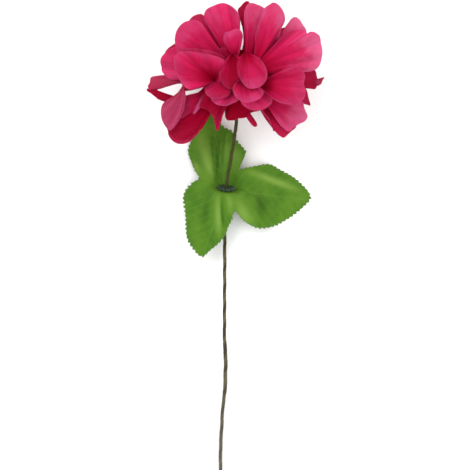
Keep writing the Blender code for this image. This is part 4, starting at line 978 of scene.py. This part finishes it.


def leaf_boundary(pitch, depth):
    """Points round the leaf's toothed edge: angle and distance from the collar."""
    angle, reach = np.array(LEAF_EDGE, float).T
    angle = np.radians(angle)
    corner = np.stack([reach * np.cos(angle), reach * np.sin(angle) + EDGE_OFFSET, 0 * reach], axis=1)
    closed = smooth_line(np.vstack([corner, corner[:1]]), 0.1)[:-1]
    teeth = round(spans(np.vstack([closed, closed[:1]])).sum() / pitch)
    share = np.arange(teeth * POINTS_A_TOOTH) / (teeth * POINTS_A_TOOTH)
    edge = closed[np.round(share * len(closed)).astype(int) % len(closed)]
    phase = (share * teeth) % 1
    lobed = np.where(phase < TOOTH_PEAK, phase / TOOTH_PEAK, (1 - phase) / (1 - TOOTH_PEAK))
    uneven = 1 + ripples(share * 2 * np.pi, UNEVEN_TEETH, (0, 0))
    tooth = (lobed - 0.5) * depth * uneven
    return np.unwrap(np.arctan2(edge[:, 1], edge[:, 0])), np.linalg.norm(edge[:, :2], axis=1) + tooth


def eased(distance, depth, start, over):
    """A depth that sets in with distance, from a start and over a length."""
    return depth * smooth_step((distance - start) / over)


def leaf_height(x, y, angle):
    """Height of the spread leaf above the collar's centre: over the stem below it, under it above."""
    tilt = TILT_HEIGHT * np.sin(np.radians(TILT_TURN) * (y + TILT_PLACE)) * smooth_step(x / TILT_RUN)
    left = eased(-x, *LEFT_SINK) * (1 - eased(y, LEFT_BACK_EASE, *BACK_SINK[1:]))
    down = eased(x, *RIGHT_SINK) + left + eased(-y, *FRONT_SINK) + eased(y, *BACK_SINK)
    return tilt - np.sin(angle) * LEAF_STEP - down


def leaf_relief(x, y):
    """Pressed folds and veins at a point of the flat leaf: fold height and how deep in a vein it is."""
    folds = np.zeros_like(x)
    for (x0, y0), (x1, y1), height, width in LEAF_FOLDS:
        run = np.array([x1 - x0, y1 - y0])
        inside = np.clip(((x - x0) * run[0] + (y - y0) * run[1]) / run.dot(run), 0, 1)
        away = np.hypot(x - x0 - inside * run[0], y - y0 - inside * run[1])
        fading = 0.3 + 0.7 * np.sin(np.pi * inside)
        folds += height * fading * np.exp(-(away / width) ** 2)
    veins = np.zeros_like(x)
    nearest = np.full_like(x, np.inf)
    for degrees, length in LOBES:
        turn = np.radians(degrees)
        along = x * np.cos(turn) + y * np.sin(turn)
        across = -x * np.sin(turn) + y * np.cos(turn)
        bearing = np.where(along > 0, np.abs(np.arctan2(across, np.maximum(along, 1e-6))), np.inf)
        inner = smooth_step((length - along) / VEIN_END) * smooth_step(along / VEIN_START)
        middle = np.exp(-(across / VEIN_WIDTH) ** 2) * inner
        phase = (along - np.abs(across) * RIB_SLANT) / RIB_SPACING + np.where(across > 0, 0.0, 0.5)
        off = np.abs(phase - np.round(phase)) * RIB_SPACING * RIB_SQUARE
        ribs = RIB_DEPTH * np.exp(-(off / RIB_WIDTH) ** 2) * eased(along, 1, *RIBS_START)
        veins = np.where(bearing < nearest, np.maximum(middle, ribs), veins)
        nearest = np.minimum(nearest, bearing)
    return folds, veins


class FLOWER_OT_leaf(bpy.types.Operator):
    """Leaf of three toothed lobes, pressed with veins and folds"""
    bl_idname = "flower.leaf"
    bl_label = "Leaf"

    def execute(self, context):
        settings = context.scene.flower_leaf
        thickness = settings.cloth / MM
        angle, edge = leaf_boundary(settings.tooth_pitch / MM, settings.tooth_depth / MM)
        shares = np.array(LEAF_RINGS)[:, None]
        ring = LEAF_HOLE + (edge - LEAF_HOLE) * shares
        turn = np.broadcast_to(angle, ring.shape)
        x, y = ring * np.cos(turn), ring * np.sin(turn)
        folds, veins = leaf_relief(x, y)
        folds *= eased(ring, 1, *FOLDS_START)
        grooves = veins * settings.vein_depth / MM * eased(ring, 1, *GROOVES_START)
        waves = EDGE_WAVE * shares ** 6 * np.sin(EDGE_WAVES * turn)
        flat = np.stack([x, y, leaf_height(x, y, turn) + folds * FOLD_SHARE - grooves + waves], axis=-1)
        right = unit(np.cross(COLLAR_AXIS, UP))
        up = np.cross(right, COLLAR_AXIS)
        disc = ring[..., None] * (np.cos(turn)[..., None] * right - np.sin(turn)[..., None] * up)
        spread = smooth_step((ring - LEAF_DISC) / (LEAF_SPREAD - LEAF_DISC))[..., None]
        grid = rest_on_table(COLLAR_CENTRE + disc * (1 - spread) + flat * spread, thickness)
        points, faces = thick_sheet(grid, thickness, closed_across=True)
        attributes = {
            "cloth": np.tile(np.stack([x, y, 0 * x], axis=-1).reshape(-1, 3), (2, 1)),
            "relief": np.tile(folds.ravel(), 2), "vein": np.tile(veins.ravel(), 2),
            "rim": np.tile((edge - ring).ravel(), 2)}
        leaf = make_piece("leaf", points, faces.tolist(), leaf_cloth(), attributes)
        finish_piece(leaf, "leaves")
        return {"FINISHED"}


# Stem

# Route of the stem from its cut end to the collar and on to the bloom
STEM_ROUTE = [
    (-12.0, -236.3, 0.9), (-11.9, -227.6, 1.2), (-11.8, -218.4, 1.7), (-11.4, -211.0, 2.1),
    (-10.8, -200.0, 2.5), (-10.3, -193.5, 2.8), (-9.4, -186.5, 3.1), (-9.0, -178.4, 3.5), (-8.8, -165.0, 4.1),
    (-9.4, -154.0, 4.6), (-9.4, -135.0, 5.4), (-9.3, -107.8, 6.7), (-9.3, -90.6, 7.4), (-9.4, -81.5, 8.0),
]
STEM_ABOVE_COLLAR = [(-6.0, -46.0, 18.6), (-3.9, -33.5, 22.6), (-2.6, -24.5, 25.6), (-2.0, -17.5, 29.3)]
STRAIGHT_IN_COLLAR = (-10.0, -5.0, 0.0, 5.0)   # along the collar's axis from its centre
SLEEVE_BOTTOM = -16.0          # along the bloom's axis from the hub
SOCKET_FLOOR = -9.5            # the tape stops just below here
WIRE_SOCKET_TOP = 2.0
STRAIGHT_IN_BLOOM = (SLEEVE_BOTTOM, -12.0, SOCKET_FLOOR, -4.0, WIRE_SOCKET_TOP)
TAPE_END_GAP = 0.5
WIRE_END = 0.15                # the sheared end stands this much proud of the tape
# Stretches wound twice: first and last Y
TAPE_DOUBLED = [(-187.6, -155.0), (-32.0, -28.0)]
DOUBLED_START = 1.2            # length over which the second layer starts and ends
UNEVEN_WINDING = 0.7           # turns by which the tape's edge wanders
LAP = (0.5, 0.56, 0.97, 1.0)   # shares of a turn: where the lapped tape steps up, and where down again
FAR = 10.0                     # metres, beyond everything
TAPE_RINGS = 900
TAPE_SIDES = 33


def stem_route():
    """The stem's centre line as listed points, the last ones straight into the bloom's sleeve."""
    through = [COLLAR_CENTRE + COLLAR_AXIS * t for t in STRAIGHT_IN_COLLAR]
    into_bloom = [HUB + AXIS * t for t in STRAIGHT_IN_BLOOM]
    return np.array(STEM_ROUTE + through + STEM_ABOVE_COLLAR + into_bloom)


def route_curve(name, line):
    """A poly curve through points in millimetres."""
    data = bpy.data.curves.new(name, "CURVE")
    data.dimensions = "3D"
    spline = data.splines.new("POLY")
    spline.points.add(len(line) - 1)
    spline.points.foreach_set("co", np.column_stack([to_world(line), np.ones(len(line))]).ravel())
    return place_object(name, data)


def new_tree(name, **inputs):
    """A Geometry Nodes tree with the named inputs after its geometry, what adds its nodes, and the inputs."""
    tree = bpy.data.node_groups.new(name, "GeometryNodeTree")
    tree.interface.new_socket("Geometry", in_out="OUTPUT", socket_type="NodeSocketGeometry")
    for label, kind in {"Geometry": "Geometry", **inputs}.items():
        tree.interface.new_socket(label, in_out="INPUT", socket_type="NodeSocket" + kind)
    return tree, partial(add_node, tree), add_node(tree, "NodeGroupInput").outputs


def apply_tree(carrier, tree, values, name):
    """Runs the tree on the carrier with the values for its named inputs, and keeps a plain mesh."""
    modifier = carrier.modifiers.new(tree.name, "NODES")
    modifier.node_group = tree
    for item in tree.interface.items_tree:
        if item.in_out == "INPUT" and item.name in values:
            modifier[item.identifier] = values[item.name]
    return plain_piece(carrier, name)


def winding_tree():
    """Tape wound along a curve: a tube whose radius steps up where each turn laps the last."""
    tree, add, given = new_tree(
        "wound tape", Radius="Float", Step="Float", Pitch="Float", Rings="Int", Sides="Int", Floor="Float",
        Tape="Material")
    grid = add("GeometryNodeMeshGrid", {
        "Size X": 1.0, "Size Y": 1.0, "Vertices X": given["Rings"], "Vertices Y": given["Sides"]})
    place = add("ShaderNodeSeparateXYZ", {"Vector": add("GeometryNodeInputPosition")}).outputs
    along = add("ShaderNodeMath", (place["X"], 0.5), operation="ADD")
    around = add("ShaderNodeMath", (place["Y"], 0.5), operation="ADD")
    length = add("GeometryNodeCurveLength", {"Curve": given["Geometry"]})
    run = add("ShaderNodeMath", (along, length), operation="MULTIPLY")
    sample = add("GeometryNodeSampleCurve", {
        "Curves": given["Geometry"], "Factor": along}, mode="FACTOR").outputs

    # Where the next turn lies over the last one
    turns = add("ShaderNodeMath", (run, given["Pitch"]), operation="DIVIDE")
    phase = add("ShaderNodeMath", (turns, around), operation="SUBTRACT")
    wobble = add("ShaderNodeTexNoise", {"W": run, "Scale": 0.09 / MM, "Detail": 2.0}, noise_dimensions="1D")
    loose = add("ShaderNodeMath", (wobble, UNEVEN_WINDING, phase), operation="MULTIPLY_ADD")
    lap = add("ShaderNodeMath", (loose,), operation="FRACT")
    climb = add("ShaderNodeMapRange", {"Value": lap, "From Min": LAP[0], "From Max": LAP[1]}, **SMOOTH)
    drop = add("ShaderNodeMapRange", {
        "Value": lap, "From Min": LAP[2], "From Max": LAP[3], "To Min": 1.0, "To Max": 0.0}, **SMOOTH)
    ridge = add("ShaderNodeMath", (climb, drop), operation="MULTIPLY")
    radius = add("ShaderNodeMath", (ridge, given["Step"], given["Radius"]), operation="MULTIPLY_ADD")

    # One more layer where the tape was wound twice
    level = add("ShaderNodeSeparateXYZ", {"Vector": sample["Position"]}).outputs["Y"]
    for first, last in TAPE_DOUBLED:
        ends = []
        for y, inwards in ((first, DOUBLED_START), (last, -DOUBLED_START)):
            start = (y - TABLE_TO_BOX_MIDDLE[1]) * MM
            ends.append(add("ShaderNodeMapRange", {
                "Value": level, "From Min": start, "From Max": start + inwards * MM}, **SMOOTH))
        twice = add("ShaderNodeMath", (ends[0], ends[1]), operation="MULTIPLY")
        radius = add("ShaderNodeMath", (twice, given["Step"], radius), operation="MULTIPLY_ADD")

    # The tube round the curve, kept above the floor
    turn = add("ShaderNodeMath", (around, 2 * np.pi), operation="MULTIPLY")
    beside = add("ShaderNodeVectorMath", (sample["Tangent"], sample["Normal"]), operation="CROSS_PRODUCT")
    spokes = []
    for way, wave in ((sample["Normal"], "COSINE"), (beside, "SINE")):
        share = add("ShaderNodeMath", (turn,), operation=wave)
        spokes.append(add("ShaderNodeVectorMath", {0: way, "Scale": share}, operation="SCALE"))
    spoke = add("ShaderNodeVectorMath", (spokes[0], spokes[1]), operation="ADD")
    offset = add("ShaderNodeVectorMath", {0: spoke, "Scale": radius}, operation="SCALE")
    wound = add("ShaderNodeVectorMath", (sample["Position"], offset), operation="ADD")
    floor = add("ShaderNodeCombineXYZ", {"X": -FAR, "Y": -FAR, "Z": given["Floor"]})
    above = add("ShaderNodeVectorMath", (wound, floor), operation="MAXIMUM")
    kept = add("GeometryNodeStoreNamedAttribute", {
        "Geometry": grid, "Name": "lap", "Value": ridge}, data_type="FLOAT", domain="POINT")
    tube = add("GeometryNodeSetPosition", {"Geometry": kept, "Position": above})
    closed = add("GeometryNodeMergeByDistance", {"Geometry": tube, "Distance": 0.002 * MM})
    smooth = add("GeometryNodeSetShadeSmooth", {"Geometry": closed})
    real = add("GeometryNodeRealizeInstances", {"Geometry": smooth})
    finished = add("GeometryNodeSetMaterial", {"Geometry": real, "Material": given["Tape"]})
    add("NodeGroupOutput", {0: finished})
    return tree


def close_ends(piece):
    """Caps the open ends of a tube and turns every face outwards."""
    shape = bmesh.new()
    shape.from_mesh(piece.data)
    bmesh.ops.remove_doubles(shape, verts=shape.verts, dist=0.001 * MM)
    bmesh.ops.holes_fill(shape, edges=[edge for edge in shape.edges if edge.is_boundary], sides=0)
    bmesh.ops.recalc_face_normals(shape, faces=shape.faces)
    shape.to_mesh(piece.data)
    shape.free()
    piece.data.set_sharp_from_angle(angle=np.radians(50))


class FLOWER_OT_stem(bpy.types.Operator):
    """Steel wire and the tape wound round it"""
    bl_idname = "flower.stem"
    bl_label = "Stem"

    def execute(self, context):
        settings = context.scene.flower_stem
        whole = smooth_line(stem_route(), 1.0)
        below_bloom = whole[(whole - HUB) @ AXIS < SOCKET_FLOOR - TAPE_END_GAP]
        tape = apply_tree(route_curve("tape_route", below_bloom), winding_tree(), {
            "Radius": settings.tape_radius, "Step": settings.tape_step, "Pitch": settings.winding,
            "Rings": TAPE_RINGS, "Sides": TAPE_SIDES, "Floor": 0.0, "Tape": floral_tape()}, "stem_tape")
        close_ends(tape)
        finish_piece(tape, "stem_wrap")

        wire_line = whole.copy()
        wire_line[0] += unit(whole[0] - whole[1]) * WIRE_END
        route = route_curve("wire_route", wire_line)
        route.data.bevel_depth = settings.wire_radius
        route.data.bevel_resolution = 3
        route.data.use_fill_caps = True
        wire = plain_piece(route, "stem_core_wire")
        close_ends(wire)
        wire.data.materials.clear()
        wire.data.materials.append(drawn_wire())
        finish_piece(wire, "stem_wire")
        return {"FINISHED"}


# Collar, peg and cap. Profiles hold (along the axis from the centre, radius).

TOOTH_RADII = (0.8, 0.28)      # at its root and tip
TOOTH_FLATNESS = 0.75
TOOTH_SUNK = 0.3               # share of a tooth's length that is inside the flange
TEETH_LEVEL = 1.4              # along the collar's axis
COLLAR_SIDES = 56
COLLAR_BELOW_FLANGE = [        # neck, washer and sleeve, back to the bore
    (0.65, 3.0), (-0.65, 3.0), (-0.65, 4.4), (-0.8, 4.6), (-1.6, 4.55), (-1.85, 4.2), (-2.1, 2.75),
    (-2.6, 2.5), (-8.6, 2.1), (-8.95, 1.9), (-9.0, 1.6), (-8.9, 1.45),
]
PEG_PROFILE = [
    (10.6, 0), (10.6, 1.2), (10.4, 1.55), (10.0, 1.7), (-6.3, 1.7), (-6.3, 4.7), (-6.4, 4.95), (-6.6, 5.0),
    (-7.5, 5.0), (-7.75, 4.9), (-7.8, 4.7), (-8.3, 3.1), (-8.8, 2.75), (-15.4, 2.42), (-15.8, 2.3),
    (-16.0, 2.1), (-16.0, 1.6), (-15.8, 1.47), (-9.5, 1.47), (-9.5, 0.8), (2.3, 0.8), (2.3, 0),
]
CAP_PROFILE = [
    (12.2, 0), (12.15, 1.2), (11.9, 2.2), (11.3, 2.95), (10.6, 3.2), (9.1, 3.2), (8.9, 3.05), (8.9, 2.1),
    (9.0, 2.0), (10.9, 2.0), (10.9, 0),
]


def collar_profile(rim):
    """Outline of the collar without its teeth, for a flange of the given radius."""
    flange = [(2.25, 1.45), (2.35, 1.7), (2.3, rim - 0.9), (2.0, rim - 0.15), (1.4, rim), (0.8, rim - 0.1),
              (0.65, rim - 0.5)]
    return flange + COLLAR_BELOW_FLANGE


def tooth_tree():
    """Copies a tooth round a circle on top of the body of the collar."""
    tree, add, given = new_tree(
        "teeth round a flange", Teeth="Int", Radius="Float", Length="Float", Height="Float",
        Plastic="Material")
    ring = add("GeometryNodeMeshCircle", {"Vertices": given["Teeth"], "Radius": given["Radius"]})
    tooth = add("GeometryNodeMeshCone", {
        "Vertices": 8, "Side Segments": 4, "Radius Bottom": TOOTH_RADII[0] * MM,
        "Radius Top": TOOTH_RADII[1] * MM, "Depth": given["Length"]})
    flattened = add("GeometryNodeTransform", {"Geometry": tooth, "Scale": (1.0, TOOTH_FLATNESS, 1.0)})
    facing = add("FunctionNodeAlignRotationToVector", {"Vector": add("GeometryNodeInputPosition")},
                 axis="Z", pivot_axis="AUTO")
    teeth = add("GeometryNodeInstanceOnPoints", {"Points": ring, "Instance": flattened, "Rotation": facing})
    lift = add("ShaderNodeCombineXYZ", {"Z": given["Height"]})
    raised = add("GeometryNodeSetPosition", {"Geometry": teeth, "Offset": lift})
    both = add("GeometryNodeJoinGeometry", {0: raised})
    join(both, {0: given["Geometry"]})
    real = add("GeometryNodeRealizeInstances", {"Geometry": both})
    finished = add("GeometryNodeSetMaterial", {"Geometry": real, "Material": given["Plastic"]})
    add("NodeGroupOutput", {0: finished})
    return tree


def axis_place(centre, axis):
    """Matrix that stands a piece made round +Z at the origin on a centre, along an axis."""
    turn = Vector(UP).rotation_difference(Vector(axis)).to_matrix().to_4x4()
    return Matrix.Translation(Vector(to_world(centre))) @ turn


class FLOWER_OT_collar(bpy.types.Operator):
    """Toothed collar that holds the leaf on the stem"""
    bl_idname = "flower.collar"
    bl_label = "Leaf collar"

    def execute(self, context):
        settings = context.scene.flower_collar
        profile = collar_profile(settings.flange_radius / MM)
        points, faces = turned(np.zeros(3), UP, profile, COLLAR_SIDES, closed=True)
        mesh = bpy.data.meshes.new("collar_body")
        mesh.from_pydata((points * MM).tolist(), [], faces)
        plastic = moulded_plastic("dark green moulded polyethylene", "#2C4431", "#13221A")
        collar = apply_tree(place_object("collar_body", mesh), tooth_tree(), {
            "Teeth": settings.teeth, "Radius": settings.flange_radius - settings.tooth_length * TOOTH_SUNK,
            "Length": settings.tooth_length * (1 + TOOTH_SUNK), "Height": TEETH_LEVEL * MM,
            "Plastic": plastic}, "collar")
        collar.data.transform(axis_place(COLLAR_CENTRE, COLLAR_AXIS))
        collar.data.shade_smooth()
        collar.data.set_sharp_from_angle(angle=np.radians(40))
        finish_piece(collar, "leaf_collar")
        return {"FINISHED"}


class FLOWER_OT_peg(bpy.types.Operator):
    """Peg that carries the petal layers, and the cap that locks it"""
    bl_idname = "flower.peg"
    bl_label = "Peg and cap"

    def execute(self, context):
        green = moulded_plastic("green moulded polyethylene", "#4C7038", "#2F4E24")
        crimson = moulded_plastic("crimson moulded polyethylene", "#A81440", "#7E0A2C")
        for name, profile, plastic, slot, node in (
                ("bloom_peg", PEG_PROFILE, green, "peg_plastic", "peg"),
                ("bloom_cap", CAP_PROFILE, crimson, "cap_plastic", "cap")):
            finish_piece(make_piece(name, *turned(HUB, AXIS, profile), plastic, sharp=40), node)
        return {"FINISHED"}


# Stage, in metres

BELOW_PART = 0.00005           # the table top is this much lower, so that the two don't share a plane
BOX_AIM = Vector((0, 0.05, 0))
BOXES = {                      # soft boxes: place and width
    "key": ((-0.55, 0.75, 1.5), 0.8),
    "fill": ((0.9, -0.3, 1.3), 1.0),
}
SURROUNDINGS = 1.15            # brightness


class FLOWER_OT_stage(bpy.types.Operator):
    """Table top, soft boxes, pale surroundings and the camera straight above"""
    bl_idname = "flower.stage"
    bl_label = "Stage"

    def execute(self, context):
        settings = context.scene.flower_stage
        half = settings.floor_width / 2
        level = CAD_BOX[0][2] - BELOW_PART
        corners = [(-half, -half, level), (half, -half, level), (half, half, level), (-half, half, level)]
        mesh = bpy.data.meshes.new("table_top")
        mesh.from_pydata(corners, [], [(0, 1, 2, 3)])
        mesh.materials.append(table_laminate())
        place_object("table_top", mesh)

        for name, power in (("key", settings.key_power), ("fill", settings.fill_power)):
            place, width = BOXES[name]
            light = bpy.data.lights.new(name, "AREA")
            light.shape = "SQUARE"
            light.size = width
            light.energy = power
            lamp = place_object(name, light)
            lamp.location = place
            lamp.rotation_euler = (BOX_AIM - Vector(place)).to_track_quat("-Z", "Y").to_euler()

        world = bpy.data.worlds.new("pale surroundings")
        world.use_nodes = True
        join(world.node_tree.nodes["Background"], {"Color": srgb("#FFFFFF"), "Strength": SURROUNDINGS})
        context.scene.world = world

        lens = bpy.data.cameras.new("camera")
        lens.lens = settings.lens
        lens.sensor_width = 36
        lens.clip_end = 20
        camera = place_object("camera", lens)
        camera.location = to_world((*BELOW_CAMERA, settings.camera_height / MM))
        context.scene.camera = camera
        context.scene.view_settings.view_transform = "Standard"
        context.scene.view_settings.look = "None"
        return {"FINISHED"}


class FLOWER_PT_panel(bpy.types.Panel):
    """Lists the steps that make the flower"""
    bl_idname = "FLOWER_PT_panel"
    bl_label = "Silk chrysanthemum"
    bl_space_type = "VIEW_3D"
    bl_region_type = "UI"
    bl_category = "Flower"

    def draw(self, context):
        for operator, group in PARTS:
            self.layout.operator(operator.bl_idname)
            settings = getattr(context.scene, group) if group else None
            for name in getattr(settings, "__annotations__", {}):
                self.layout.prop(settings, name)


GROUPS = [
    ("flower_bloom", BloomSettings), ("flower_leaf", LeafSettings), ("flower_stem", StemSettings),
    ("flower_collar", CollarSettings), ("flower_stage", StageSettings),
]
PARTS = [                      # operators and the group of settings that each reads
    (FLOWER_OT_petals, "flower_bloom"), (FLOWER_OT_leaf, "flower_leaf"), (FLOWER_OT_stem, "flower_stem"),
    (FLOWER_OT_collar, "flower_collar"), (FLOWER_OT_peg, None), (FLOWER_OT_stage, "flower_stage"),
]
CLASSES = [group for _, group in GROUPS] + [operator for operator, _ in PARTS] + [FLOWER_PT_panel]


def register():
    for item in CLASSES:
        bpy.utils.register_class(item)
    for name, group in GROUPS:
        setattr(bpy.types.Scene, name, PointerProperty(type=group))


def unregister():
    for name, _ in GROUPS:
        delattr(bpy.types.Scene, name)
    for item in reversed(CLASSES):
        bpy.utils.unregister_class(item)


def main():
    register()
    bpy.ops.flower.petals()
    bpy.ops.flower.leaf()
    bpy.ops.flower.stem()
    bpy.ops.flower.collar()
    bpy.ops.flower.peg()
    bpy.ops.flower.stage()


if __name__ == "__main__":
    main()
